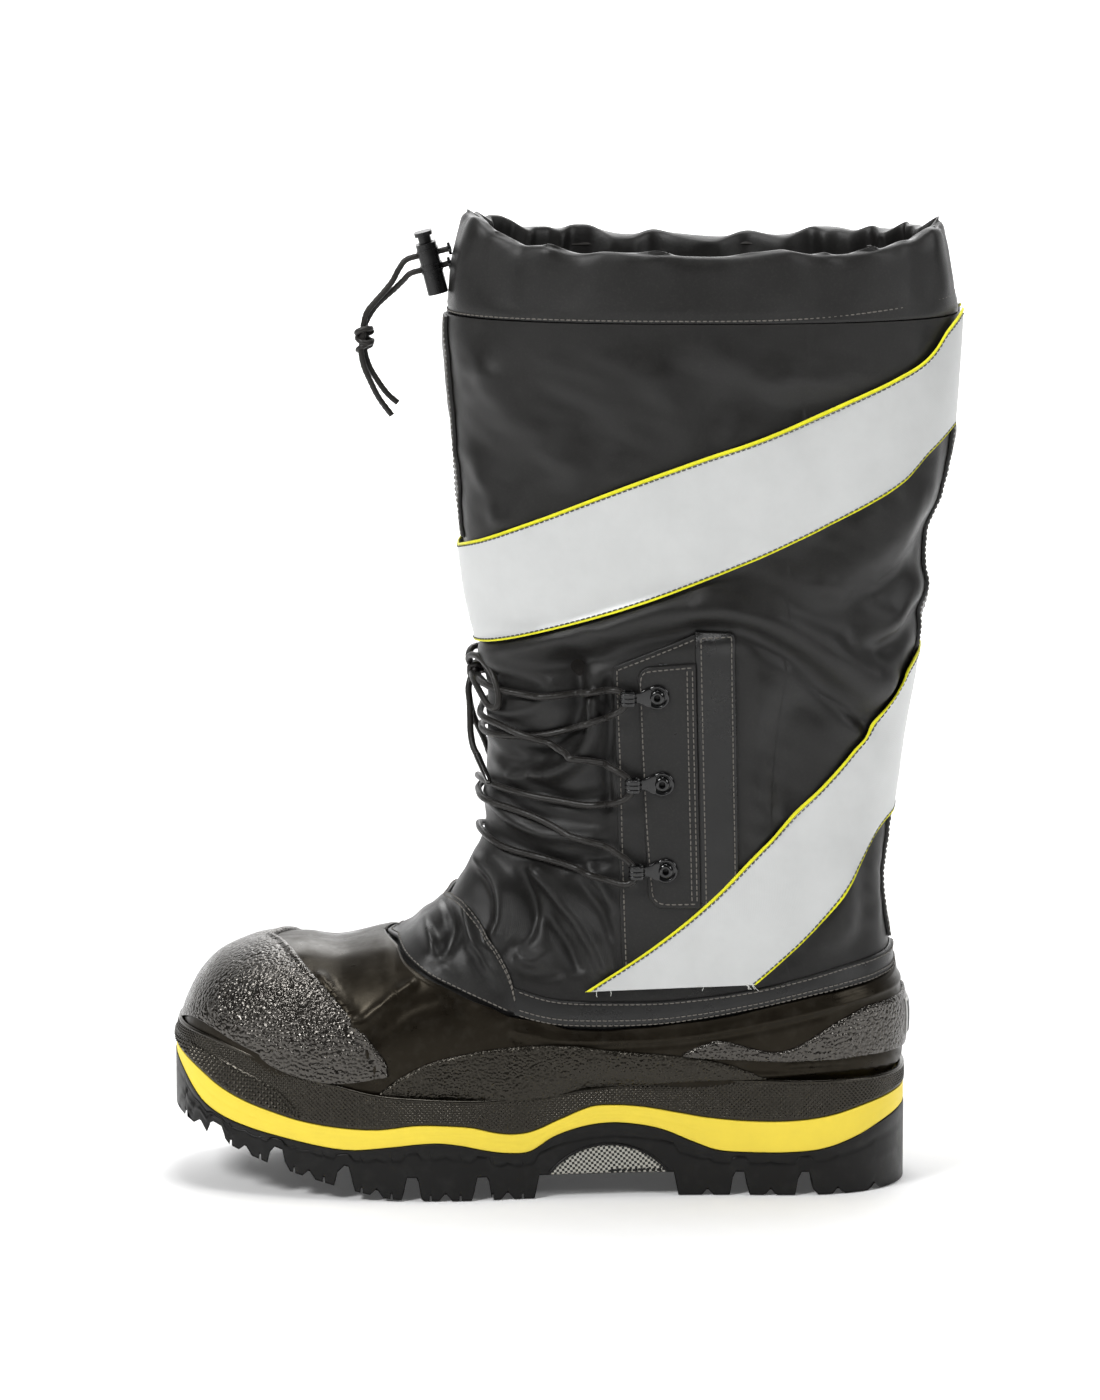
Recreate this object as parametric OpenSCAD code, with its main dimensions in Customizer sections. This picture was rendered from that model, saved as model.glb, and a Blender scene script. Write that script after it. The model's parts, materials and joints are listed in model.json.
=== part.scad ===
// Tall insulated safety boot, left foot. A rubber lower on a two-layer lugged sole carries
// a fabric shaft with two reflective bands, side lacing over the instep and a corded
// snow collar. A felt inner boot, a steel toe cap and a steel plate are inside.
// Millimetres. +Z is up, the toe points to -X and the outer (lateral) side faces -Y.
// The origin is on the ground, under the middle of the boot's length.

/* [Sole] */
// Height of the tread lugs
lug_h = 10; // [6:0.5:12]
// Width of the gap between two lugs, at the ground
lug_gap = 8; // [6:0.5:10]
// Thickness of the puncture-resistant plate
plate_t = 0.8; // [0.5:0.1:1]
// Thickness of the insole board
board_t = 1.6; // [1:0.1:1.8]

/* [Rubber lower] */
// Thickness of the rubber shell
shell_t = 2.2; // [1.5:0.1:2.4]
// Thickness of the grained panels moulded on the shell
panel_t = 1.2; // [0.8:0.1:1.4]
// Wall of the steel toe cap
toe_cap_t = 1.8; // [1.2:0.1:2]

/* [Fabric shaft] */
// Thickness of the shaft fabric with its backing
fabric_t = 2; // [1:0.1:2.2]
// Thickness of the sewn-on panels and strips
patch_t = 1.2; // [0.8:0.1:1.4]
// Thickness of the reflective tape
tape_t = 0.6; // [0.4:0.1:0.8]
// Width of the bright edging on each side of the tape
edging_w = 1.6; // [1:0.1:2.5]

/* [Inner boot] */
// Thickness of the felt inner boot
liner_t = 7.5; // [6:0.5:9]
// Height of the top of the inner boot above the ground
liner_top = 367; // [350:1:368]
// Thickness of the footbed
footbed_t = 4; // [3:0.5:5]

/* [Lacing] */
// Diameter of the boot lace
lace_d = 2.8; // [2.4:0.1:3]
// Diameter of the washer under each lace loop
washer_d = 10.4; // [9:0.1:11]
// Diameter of each rivet head
rivet_d = 6; // [5:0.1:7]

/* [Collar cord] */
// Diameter of the collar drawcord
cord_d = 2.5; // [2:0.1:2.6]
// Bore of the cord lock for each strand
lock_bore = 3.2; // [3.1:0.1:3.4]
// Travel of the cord lock's button
button_travel = 3; // [2:0.5:3]

/* [Hidden] */

gap = 0.3;              // clearance between stacked layers
lateral = 1;
medial = -1;

// ---------- The form: one surface for every layer ----------
// The boot is a row of cross-sections, numbered by t:
//   t 0 to 1  upright sections, from the toe tip back to the hinge line
//   t 1 to 2  sections that fan round the hinge line, over the instep and heel
//   t 2 to 3  level sections up the shaft
// Round each section the angle runs from 0 at the front or top to 180 at the back or
// sole, on the lateral side; negative angles are on the medial side.
hinge = [-72, 156];     // x and z of the hinge line
top_z = 420;            // level of t = 3
toe_l = 91.5;           // hinge line to toe tip
toe_w = 52;             // half width at the ball
toe_p = 2.5;            // squareness of the toe seen from above
sole_gap = 3;           // last above the midsole
nose_t = 0.25;          // t at which the toe's nose meets the bottom line
nose_z = 60;            // height of the toe tip

// Top of the forefoot: t, z
toe_top = [[0, 60], [0.2, 75], [0.3, 83.5], [0.42, 92], [0.52, 96.5], [0.64, 100.5],
    [0.77, 101.5], [0.88, 100], [1, 105.5]];
// Hinge line to instep: angle, radius
instep = [[0, 50.5], [15, 43.5], [30, 40], [45, 37], [60, 36], [75, 37], [90, 38.5]];
// Front of the shaft: z, x
front = [[156, -33.5], [226, -33.5], [244, -38.5], [261, -42], [287, -45], [331, -47.5],
    [366, -51], [385, -49.5], [397, -48.5], [420, -43]];
// Back of the heel and shaft: z, x
back = [[30, 141.5], [50, 143], [75, 144.5], [95, 140.5], [113, 139], [148, 138],
    [183, 142], [218, 147.5], [252, 151.5], [287, 157.5], [322, 164], [357, 166.9],
    [374, 167.4], [400, 164], [420, 160]];
// Half width: t, w
width = [[1, 52], [1.25, 50], [1.5, 46.5], [1.75, 44.5], [2, 45], [2.35, 48.5],
    [2.65, 51.5], [3, 53]];
// Squareness of the front or top half, and of the back or sole half: t, exponent
square_top = [[0, 2], [0.5, 2.3], [1, 2.4], [3, 2.4]];
square_sole = [[0, 2], [0.3, 3.5], [1, 5], [1.45, 4], [1.75, 2.6], [2, 2.4], [3, 2.4]];
// Place of the widest point, as a share of the section from its back or sole end
widest = [[0, 0.5], [0.4, 0.38], [1, 0.36], [1.5, 0.4], [2, 0.5], [3, 0.5]];
// Sideways shift of the section's middle: t, y
swing = [[0, 5.8], [0.4, 4.8], [0.7, 2.2], [1, -0.4], [1.4, -2.2], [2, 0], [3, 0]];

// ---------- Lines on the sole: x, z ----------
midsole_top = [[-169, 59], [-163, 55], [-157, 51], [-148, 45], [-137, 40], [-124, 36],
    [-112, 33], [-97, 31], [-80, 30.5], [-64, 32.5], [-52, 32.5], [-40, 31.5], [-30, 29],
    [-22, 28], [-14, 29], [-2, 34], [11, 39], [21, 39.5], [33, 38.5], [47, 36],
    [61, 33.5], [78, 32], [96, 32], [113, 34], [131, 38.5], [150, 42.5]];
midsole_bottom = [[-169, 56], [-165, 50], [-160, 42.5], [-155, 37], [-147, 32.5],
    [-136, 29], [-125, 26.5], [-103, 22.5], [-91, 21.5], [-76, 23], [-56, 25],
    [-45, 24], [-34, 21.5], [-24, 20], [-15, 20.5], [-5, 26.5], [7, 30.5], [19, 32],
    [31, 31], [42, 28.5], [54, 23.5], [65, 19.5], [78, 18.5], [96, 18.5], [111, 20],
    [125, 24.5], [137, 30], [150, 35]];
ground = [[-169, 32], [-166, 30], [-153, 24], [-127, 14], [-99, 6], [-84, 2.5],
    [-72, 0.4], [-60, 0], [151, 0]];
// Middle of each gap between lugs
lug_gaps = [-150, -124, -95, -66, -36, 74, 102];
web_min = 5;            // least rubber left over a gap
arch_x = [-13, 48.5];   // the arch, from the last front lug to the first heel lug
insert_x = [-7, 44];    // ends of the mesh insert in the arch
insert_z = [10, 22.5];  // its bottom and the crown of its arc
insert_y = 38;          // half the distance between the two inserts
// Footprint of the sole: half widths at x, between the round toe and the round heel
foot_mid = [[-72, 57.5], [-45, 56.5], [-10, 50], [25, 46], [60, 45.5], [95, 46.5]];
foot_toe_l = 96.5;        // hinge line to the front edge of the sole
foot_heel_l = 51.5;       // from x = 95 to the back edge of the sole
foot_heel_p = 2.4;
// Sideways shift of the footprint's middle: x, y
foot_swing = [[-169, 5.8], [-130, 4.8], [-100, 2.2], [-72, -0.4], [0, -2.2], [60, -0.5],
    [150, 0]];

// ---------- Lines on the upper: x, z ----------
vamp_edge = [[-78, 105], [-70, 100], [-60, 94], [-47, 88.5], [-33, 83], [-22, 78.5]];
collar_edge = [[-22, 78.5], [-2, 74], [32, 73.5], [56, 76], [80, 80.5], [101, 85],
    [118, 88], [130, 90], [136, 91.3], [144, 93]];
binding_edge = [[-22, 91], [-2, 85.5], [32, 84.5], [56, 86], [80, 89.5], [101, 94],
    [118, 98], [130, 100], [136, 101], [144, 102]];
skirt_drop = 22;        // how far the fabric runs down inside the shell
rand_edge = [[-169, 69], [-162, 68], [-152, 66], [-136, 61], [-119, 55], [-97, 49.5],
    [-81, 46], [-64, 44.5], [-31, 43.5], [-2, 45.5], [7, 47], [43, 50], [78, 50.5],
    [102, 50], [150, 50]];
guard_edge = [[-169, 64], [-160, 62], [-140, 54], [-124, 47], [-115, 39], [-113, 34]];
bumper_edge = [[-124, 104.5], [-118, 100.5], [-110, 95], [-99, 85.5], [-89, 76],
    [-80, 65.5], [-75, 55]];
side_panel_edge = [[-79, 48], [-70, 54.5], [-56, 61], [-37, 65], [-20, 67], [-2, 67.5],
    [19, 65], [49, 62], [66, 59], [84, 52]];
counter_top = [[49, 63], [57, 66.5], [66, 68.5], [83, 64], [91, 63.5], [99, 66],
    [108, 71.5], [117, 76.5], [127, 81], [134, 82], [139, 82.7], [142.5, 83], [148, 83.5]];
counter_bottom = [[49, 62], [57, 61], [66, 60.5], [83, 59.5], [91, 59], [99, 59],
    [108, 59], [117, 59.4], [127, 60], [134, 60.2], [139, 60.3], [142.5, 60.2], [148, 60]];
upper_band_top = [[166.6, 376], [160, 369], [144, 353], [91, 329], [58, 317], [26, 305],
    [-10, 290], [-33, 280], [-44, 274]];
upper_band_bottom = [[163.9, 329], [154, 320], [136, 304], [91, 281], [58, 267], [26, 255],
    [-6, 244.5], [-27, 238], [-36, 235]];
lower_band_top = [[11, 89], [37, 106], [63, 128], [90, 157], [117, 185], [142, 220],
    [150, 231]];
lower_band_bottom = [[79, 92], [95, 106], [107, 118], [119, 134], [129, 150],
    [136, 159], [141, 163]];
// Four corners each: top front, top back, bottom back, bottom front
ankle_corners = [[20.5, 229], [55, 243.5], [58, 91], [24.5, 91]];
strip_corners = [[55.8, 243], [71.5, 244], [74, 116], [58.8, 110]];
stay_corners = [[31, 229], [55.2, 231], [57.5, 125], [36, 125]];
loop_places = [[39.5, 216.5], [41.5, 179], [43, 141.5]];

// ---------- Collar ----------
hem_z = 375;            // seam between shaft and snow collar
rim_z = 404;            // rim at the sides
rim_front = 13;         // rise of the rim at the front
rim_back = 8;           // rise of the rim at the back
cord_z = 399;           // drawcord level in the channel

// ---------- Cord lock and the drawcord's free ends ----------
lock_at = [-57.5, 0, 396.5];
lock_tilt = 14;         // the cords leave the collar at this angle below level
strand_gap = 6.2;       // between the two strands in the lock
lock_size = [8.6, 15, 22];      // along the cords, across, and along the button
lock_low = 14;          // lock body below the middle of its bores
button_size = [5.4, 10.5];
button_rise = 5;        // button above the body, at rest
end_upper = [[-44.8, -5, 399.5], [-46.6, -1.5, 401.8], [-48.5, 0, 402],
    [-58.25, 0, 399.5], [-67, 0, 397.3], [-70.5, 0, 393.5], [-73.5, 0, 388],
    [-77, 0, 383.5], [-81, 0, 379], [-84.5, 0, 374.5], [-86, 0, 369],
    [-86.5, -0.5, 363], [-87, -1.5, 358], [-86, -1.5, 352],
    [-83.5, -1.5, 346], [-79.5, -1.5, 338], [-74, -1.5, 330.5]];
end_lower = [[-44.8, 5, 398.5], [-46.6, 1.5, 396.4], [-48.5, 0, 395.8],
    [-56.75, 0, 393.5], [-65.5, 0, 391.3], [-69, 1.5, 388], [-73, 3, 384],
    [-77, 3.2, 380.5], [-81, 3.2, 376.5], [-84, 3, 372],
    [-85.5, 2.5, 368], [-85, 2.5, 363], [-85.5, 2, 357.5], [-83.5, 1.6, 351],
    [-80, 1.6, 345], [-76, 1.6, 339.5], [-71.5, 1.6, 335.5]];
knot_at = [-85.8, 1, 363.5];

// ---------- Lacing ----------
lace_lift = 2.6;        // middle of the lace above the fabric, where it lies
lace_over = 5.8;        // the same where it crosses over another run
loop_lift = 5.9;        // the same inside a lace loop
lace_knot_at = [-38.6, 0, 220.5];
// The lace from the knot, down one side and up the other: x, z, side, lift.
// A side of 0 puts the point on the middle line at the front.
lace_route = [
    [-36, 219, 0, 4.2], [-24, 216, 1, lace_lift], [-8, 215, 1, lace_lift],
    [12, 218, 1, 3.2], [24, 219.5, 1, loop_lift], [27, 215, 1, loop_lift],
    [24, 210, 1, loop_lift], [10, 204, 1, 3.2], [-9, 198, 1, 2.4], [-26, 196, 1, lace_lift],
    [-34, 196.5, 0, lace_lift], [-26, 194, -1, lace_lift], [-9, 190, -1, lace_lift],
    [12, 186, -1, 3.2], [25, 184, -1, loop_lift], [29.5, 178, -1, loop_lift],
    [26, 172.5, -1, loop_lift], [12, 171, -1, 3.2], [-10, 170, -1, 2.4],
    [-27, 169.5, -1, 2.3], [-36, 169, 0, 2.3], [-26, 166, 1, lace_lift],
    [-10, 162, 1, lace_lift], [10, 155, 1, 3.2], [26, 147.5, 1, loop_lift],
    [31, 140.5, 1, loop_lift], [27, 135.5, 1, loop_lift], [12, 139, 1, 3.2],
    [-8, 144.5, 1, lace_lift], [-26, 147.5, 1, lace_lift], [-38, 152, 0, lace_lift],
    [-26, 147.5, -1, lace_lift], [-8, 144.5, -1, lace_lift], [12, 139, -1, 3.2],
    [27, 135.5, -1, loop_lift], [31, 140.5, -1, loop_lift], [26, 147.5, -1, loop_lift],
    [10, 154, -1, 3.2], [-10, 161, -1, lace_lift], [-26, 167, -1, lace_over],
    [-36, 174, 0, 3.5], [-22, 172.5, 1, lace_lift], [-7, 170.5, 1, lace_lift],
    [12, 169, 1, 3.2], [26, 172, 1, loop_lift], [29.5, 178, 1, loop_lift],
    [25, 184, 1, loop_lift], [10, 189.5, 1, 3.2], [-9, 196, 1, lace_over],
    [-26, 202, 1, 3.2], [-34, 205, 0, lace_lift], [-26, 206, -1, lace_lift],
    [-8, 206.5, -1, lace_lift], [12, 208, -1, 3.2], [24, 210, -1, loop_lift],
    [27, 215, -1, loop_lift], [24, 219.5, -1, loop_lift], [12, 218, -1, 3.2],
    [-8, 215, -1, lace_lift], [-24, 216, -1, lace_lift], [-36, 219, 0, 4.2]];
bow = [[-40, -1, 222], [-41.5, -5, 226], [-39.5, -11, 228.5], [-35.5, -18, 227.5],
    [-31, -24.5, 222.5], [-28.5, -28.5, 214.5], [-29, -29, 209], [-32.5, -25, 208.5],
    [-36, -19, 213], [-39, -11, 217.5], [-40, -4, 219.5]];
tail_lateral = [[-40, -1, 218.5], [-41.5, -2.5, 213], [-41, -3.5, 206.5],
    [-40.8, -4, 200], [-40.6, -5, 194], [-39.6, -7.4, 188.5], [-37.9, -10.6, 185.2]];
tail_medial = [[-40, 1, 218.5], [-41.5, 4, 212], [-41, 8, 205], [-39.5, 12.5, 198],
    [-37, 17.5, 191.5], [-35, 21, 186.5], [-33.5, 23.5, 182]];
tip_l = 16;             // length of each lace tip
tip_d = 3.2;

// ---------- General functions ----------
function clamp(v, lo, hi) = max(lo, min(hi, v));
function mix(a, b, s) = a + (b - a) * s;
function span(line, x, i = 0) =
    (i >= len(line) - 2 || x < line[i + 1][0]) ? i : span(line, x, i + 1);
function slope(line, i) =
    let (a = line[max(i - 1, 0)], b = line[min(i + 1, len(line) - 1)])
    (b[1] - a[1]) / (b[0] - a[0]);
// A smooth line through listed points, read at x
function curve(line, x) =
    let (c = clamp(x, line[0][0], line[len(line) - 1][0]),
         i = span(line, c),
         h = line[i + 1][0] - line[i][0],
         s = (c - line[i][0]) / h)
    line[i][1] * (2 * s ^ 3 - 3 * s ^ 2 + 1) + line[i + 1][1] * (3 * s ^ 2 - 2 * s ^ 3)
        + h * slope(line, i) * (s ^ 3 - 2 * s ^ 2 + s)
        + h * slope(line, i + 1) * (s ^ 3 - s ^ 2);
// A smooth route through listed points of any dimension, s from 0 to 1
function along(route, s) =
    let (n = len(route) - 1,
         k = clamp(s, 0, 1) * n,
         i = min(floor(k), n - 1),
         f = k - i,
         p0 = route[max(i - 1, 0)], p1 = route[i],
         p2 = route[i + 1], p3 = route[min(i + 2, n)])
    0.5 * (2 * p1 + (p2 - p0) * f + (2 * p0 - 5 * p1 + 4 * p2 - p3) * f ^ 2
        + (3 * p1 - p0 - 3 * p2 + p3) * f ^ 3);
function unit(v) = v / norm(v);
function power(v, e) = sign(v) * abs(v) ^ e;

// ---------- The form's functions ----------
function last_bottom(x) = curve(midsole_top, x) + sole_gap;
// Hinge line to the sole and to the heel's back along a ray, by repeated substitution
function sole_ray(a, r, k = 6) = k == 0 ? r :
    sole_ray(a, (hinge[1] - last_bottom(hinge[0] + r * sin(a))) / cos(a), k - 1);
function back_ray(a, r, k = 6) = k == 0 ? r :
    back_ray(a, (curve(back, hinge[1] - r * cos(a)) - hinge[0]) / sin(a), k - 1);
function outer_ray(a) =
    a < 35 ? sole_ray(a, 120 / cos(a)) :
    a > 80 ? back_ray(a, 212 / sin(a)) :
    (sole_ray(a, 120 / cos(a)) ^ -30 + back_ray(a, 212 / sin(a)) ^ -30) ^ (-1 / 30);
// The section at t, moved out by d: top end, sole end, half width
function toe_ring(t, d) =
    let (f = sin(90 * t) ^ (2 / toe_p),
         c = cos(90 * t) ^ (2 / toe_p),
         x = hinge[0] - (toe_l + d) * c,
         low = last_bottom(hinge[0] - toe_l * c),
         nose = sqrt(min(1, t / nose_t)))
    [[x, curve(toe_top, t) + d * f], [x, mix(nose_z, low, nose) - d * f], (toe_w + d) * f];
function fan_ring(t, d) =
    let (a = 90 * (t - 1), ray = [sin(a), -cos(a)])
    [hinge + ray * (curve(instep, a) - d), hinge + ray * (outer_ray(a) + d),
     curve(width, t) + d];
function shaft_ring(t, d) =
    let (z = mix(hinge[1], top_z, t - 2))
    [[curve(front, z) - d, z], [curve(back, z) + d, z], curve(width, t) + d];
function ring(t, d) = t < 1 ? toe_ring(t, d) : t < 2 ? fan_ring(t, d) : shaft_ring(t, d);
// A point of the form: section t, angle round it, distance out from it
function form(t, angle, d) =
    let (r = ring(t, d),
         middle = mix(r[1], r[0], curve(widest, t)),
         c = cos(angle),
         e = 2 / curve(c >= 0 ? square_top : square_sole, t),
         up = ((c >= 0 ? r[0] : r[1]) - middle) * abs(c) ^ e)
    [middle[0] + up[0], curve(swing, t) - r[2] * power(sin(angle), e),
     middle[1] + up[1]];
function level_t(z) = 2 + (z - hinge[1]) / (top_z - hinge[1]);
// Section and angle of the surface point seen from the side at x, z
function locate(p) =
    let (t = p[1] >= hinge[1] ? level_t(p[1]) :
             p[0] <= hinge[0] ?
                 acos(clamp((hinge[0] - p[0]) / toe_l, 0, 1) ^ (toe_p / 2)) / 90 :
             1 + atan2(p[0] - hinge[0], hinge[1] - p[1]) / 90,
         r = ring(t, 0),
         l = r[1] - r[0],
         u = clamp((p - r[0]) * l / (l * l), 0, 1),
         e = curve(widest, t))
    u < 1 - e ? [t, acos(((1 - e - u) / (1 - e)) ^ (curve(square_top, t) / 2))] :
        [t, 180 - acos(clamp((u - 1 + e) / e, 0, 1) ^ (curve(square_sole, t) / 2))];
function on_side(p, d, side) = let (q = locate(p)) form(q[0], side * q[1], d);
function located(line) = [for (p = line) locate(p)];
function rim(angle) =
    rim_z + rim_front * max(0, cos(angle)) ^ 3 + rim_back * max(0, -cos(angle)) ^ 3;
function foot_half(x) = curve(foot_mid, x);

// ---------- Closed skins from grids ----------
// points: rows of an outer grid, then the same rows of an inner grid
function cell(a, b, c, d) = [[a, b, c], [a, c, d]];
function volume(points, faces) = [for (f = faces)
    cross(points[f[0]], points[f[1]]) * points[f[2]]] * [for (f = faces) 1];
module closed(points, faces) {
    turned = volume(points, faces) > 0;
    polyhedron(points, [for (f = faces) turned ? [f[2], f[1], f[0]] : f]);
}
// A layer over the grid f(u, v, k), where k is 0 inside and 1 outside. The first `rings`
// rows are closed rings. With a pole the first row is one point.
module layer(f, nu, nv, rings = 0, pole = false) {
    points = [for (k = [0, 1]) for (i = [0 : nu]) for (j = [0 : nv]) f(i / nu, j / nv, k)];
    function at(i, j, k) =
        k * (nu + 1) * (nv + 1) + i * (nv + 1)
        + ((pole && i == 0) || (i < rings && j == nv) ? 0 : j);
    first = pole ? 1 : 0;
    faces = [
        for (i = [first : nu - 1]) for (j = [0 : nv - 1]) each cell(
            at(i, j, 1), at(i + 1, j, 1), at(i + 1, j + 1, 1), at(i, j + 1, 1)),
        for (i = [first : nu - 1]) for (j = [0 : nv - 1]) each cell(
            at(i, j + 1, 0), at(i + 1, j + 1, 0), at(i + 1, j, 0), at(i, j, 0)),
        if (pole) for (j = [0 : nv - 1]) [at(0, 0, 1), at(1, j, 1), at(1, j + 1, 1)],
        if (pole) for (j = [0 : nv - 1]) [at(0, 0, 0), at(1, j + 1, 0), at(1, j, 0)],
        if (!pole) for (j = [0 : nv - 1]) each cell(
            at(0, j, 0), at(0, j, 1), at(0, j + 1, 1), at(0, j + 1, 0)),
        for (j = [0 : nv - 1]) each cell(
            at(nu, j, 1), at(nu, j, 0), at(nu, j + 1, 0), at(nu, j + 1, 1)),
        for (i = [0 : nu - 1]) if (i + 1 >= rings) each cell(
            at(i, 0, 1), at(i, 0, 0), at(i + 1, 0, 0), at(i + 1, 0, 1)),
        for (i = [0 : nu - 1]) if (i + 1 >= rings) each cell(
            at(i, nv, 0), at(i, nv, 1), at(i + 1, nv, 1), at(i + 1, nv, 0))];
    used = [for (t = faces) if (t[0] != t[1] && t[1] != t[2] && t[0] != t[2]) t];
    closed(points, used);
}
// A hoop: a closed outline f(u, v) carried round a closed path
module hoop(f, nu, nv) {
    points = [for (i = [0 : nu - 1]) for (j = [0 : nv - 1]) f(i / nu, j / nv)];
    function at(i, j) = (i % nu) * nv + j % nv;
    closed(points, [for (i = [0 : nu - 1]) for (j = [0 : nv - 1]) each cell(
        at(i, j), at(i + 1, j), at(i + 1, j + 1), at(i, j + 1))]);
}
// A round cord along a route. Each ring's side vector is the one before it, made square
// to the route's new heading.
module cord(route, d, rings, sides = 8) {
    path = [for (i = [0 : rings - 1]) along(route, i / (rings - 1))];
    headings = [for (i = [0 : rings - 1])
        unit(path[min(i + 1, rings - 1)] - path[max(i - 1, 0)])];
    frames = [for (i = 0, v = unit(cross(headings[0], [0.31, 0.95, 0.11])); i < rings;
        i = i + 1,
        v = i < rings ? unit(v - headings[i] * (v * headings[i])) : v) v];
    points = [for (i = [0 : rings - 1]) for (j = [0 : sides - 1])
        let (v = frames[i], w = cross(headings[i], v), a = 360 * j / sides)
        path[i] + (v * cos(a) + w * sin(a)) * d / 2];
    function at(i, j) = i * sides + j % sides;
    closed(points, concat(
        [for (i = [0 : rings - 2]) for (j = [0 : sides - 1]) each cell(
            at(i, j), at(i + 1, j), at(i + 1, j + 1), at(i, j + 1))],
        [for (j = [1 : sides - 2]) [0, j, j + 1]],
        [for (j = [1 : sides - 2])
            [at(rings - 1, 0), at(rings - 1, j + 1), at(rings - 1, j)]]));
}

// ---------- Patches on the form ----------
// Between two lines given by x and z on one side, from din to dout off the form
module side_strip(low, high, side, din, dout, nu, nv) {
    a = located(low);
    b = located(high);
    layer(function(u, v, k)
        let (q = mix(along(a, u), along(b, u), v))
        form(q[0], side * q[1], k == 0 ? din : dout), nu, nv);
}
module side_panel_quad(c, side, din, dout, nu, nv) {
    layer(function(u, v, k)
        let (p = mix(mix(c[0], c[1], u), mix(c[3], c[2], u), v))
        on_side(p, k == 0 ? din : dout, side), nu, nv);
}
// Between two lines that reach the middle line at their last point, on both sides of it.
// centre is the angle of the middle line: 0 at the front or 180 at the back.
module wrap_strip(low, high, centre, din, dout, nu, nv, v0 = 0, v1 = 1) {
    last = len(low) - 1;
    a = [for (i = [0 : last]) let (q = locate(low[i])) [q[0], i == last ? centre : q[1]]];
    b = [for (i = [0 : last]) let (q = locate(high[i])) [q[0], i == last ? centre : q[1]]];
    layer(function(u, v, k)
        let (s = 2 * u - 1, w = mix(v0, v1, v),
             q = mix(along(a, 1 - abs(s)), along(b, 1 - abs(s)), w))
        form(q[0], s < 0 ? q[1] : -q[1], k == 0 ? din : dout), nu, nv);
}

// ---------- Sole ----------
function foot_outline(grow) =
    let (end = foot_heel_l + grow, tip = foot_toe_l + grow, steps = 16)
    [for (side = [-1, 1])
        let (outline = concat(
            [for (i = [0 : steps]) let (a = 90 * i / steps)
                let (x = hinge[0] - tip * cos(a) ^ (2 / toe_p))
                [x, curve(foot_swing, x)
                    + side * (foot_half(hinge[0]) + grow) * sin(a) ^ (2 / toe_p)]],
            [for (i = [1 : steps]) let (x = mix(hinge[0], 95, i / steps))
                [x, curve(foot_swing, x) + side * (foot_half(x) + grow)]],
            [for (i = [1 : steps]) let (a = 90 * (1 - i / steps))
                let (x = 95 + end * cos(a) ^ (2 / foot_heel_p))
                [x, curve(foot_swing, x)
                    + side * (foot_half(95) + grow) * sin(a) ^ (2 / foot_heel_p)]]))
        each side < 0 ? outline : [for (i = [len(outline) - 2 : -1 : 1]) outline[i]]];
module footprint(grow) polygon(foot_outline(grow));
// A slab of the footprint between two lines seen from the side
module sole_slab(low, high, grow, lift_low = 0, lift_high = 0, steps = 72) {
    xs = [for (i = [0 : steps]) mix(-170, 152, i / steps)];
    intersection() {
        linear_extrude(100) footprint(grow);
        rotate([90, 0, 0]) linear_extrude(160, center = true) polygon(concat(
            [for (x = xs) [x, curve(low, x) + lift_low]],
            [for (i = [steps : -1 : 0]) [xs[i], curve(high, xs[i]) + lift_high]]));
    }
}
module lug_cuts() {
    rotate([90, 0, 0]) linear_extrude(160, center = true) {
        for (x = lug_gaps) {
            h = min(lug_h, curve(midsole_bottom, x) - curve(ground, x) - web_min);
            translate([x, curve(ground, x)])
                polygon([[-lug_gap / 2, -5], [lug_gap / 2, -5], [lug_gap * 0.3, h],
                    [-lug_gap * 0.3, h]]);
        }
        polygon([[arch_x[0] + 2, -1], [arch_x[1] - 2, -1], [arch_x[1], lug_h],
            [arch_x[0], lug_h]]);
    }
}
// Two long channels part the middle lugs from the edge lugs
module channel_cuts() {
    for (y = [-19, 19])
        translate([-140, y - 2.5, -1]) cube([270, 5, lug_h * 0.7 + 1]);
}
module insert_shape(grow) {
    r = (pow(insert_x[1] - insert_x[0], 2) / 4 + pow(insert_z[1] - insert_z[0], 2))
        / (2 * (insert_z[1] - insert_z[0]));
    intersection() {
        translate([(insert_x[0] + insert_x[1]) / 2, insert_z[1] - r])
            circle(r + grow, $fn = 120);
        translate([insert_x[0] - 5, insert_z[0]]) square([80, 30]);
    }
}
// A bar of that shape across one side of the sole, its inner end at y = inner
module insert_bar(grow, inner, side) {
    run = 30;
    translate([0, side * (inner + run / 2), 0]) rotate([90, 0, 0])
        linear_extrude(run, center = true) insert_shape(grow);
}
module outsole() {
    color("#1b1b1c") difference() {
        sole_slab(ground, midsole_bottom, 0.4);
        lug_cuts();
        channel_cuts();
        insert_bar(0.2, insert_y, -1);
        insert_bar(0.2, insert_y, 1);
    }
}
module midsole() {
    color("#f5e13c") sole_slab(midsole_bottom, midsole_top, 0, gap, 0);
}
module arch_insert(side) {
    color("#8d8d86") intersection() {
        insert_bar(-0.1, insert_y + 0.2, side);
        linear_extrude(100) footprint(0.6);
    }
}
module arch_insert_lateral() arch_insert(-1);
module arch_insert_medial() arch_insert(1);
// Section of row i of the inner boot: 7 rows over the toe, 10 over the instep and heel,
// and 6 up the shaft
liner_rows = 23;
function liner_row(i) = i <= 7 ? (i / 7) ^ 1.2 * 0.95 : i <= 17 ? mix(0.95, 1.75, (i - 7) / 10) :
    mix(1.75, level_t(liner_top), (i - 17) / 6);
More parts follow.
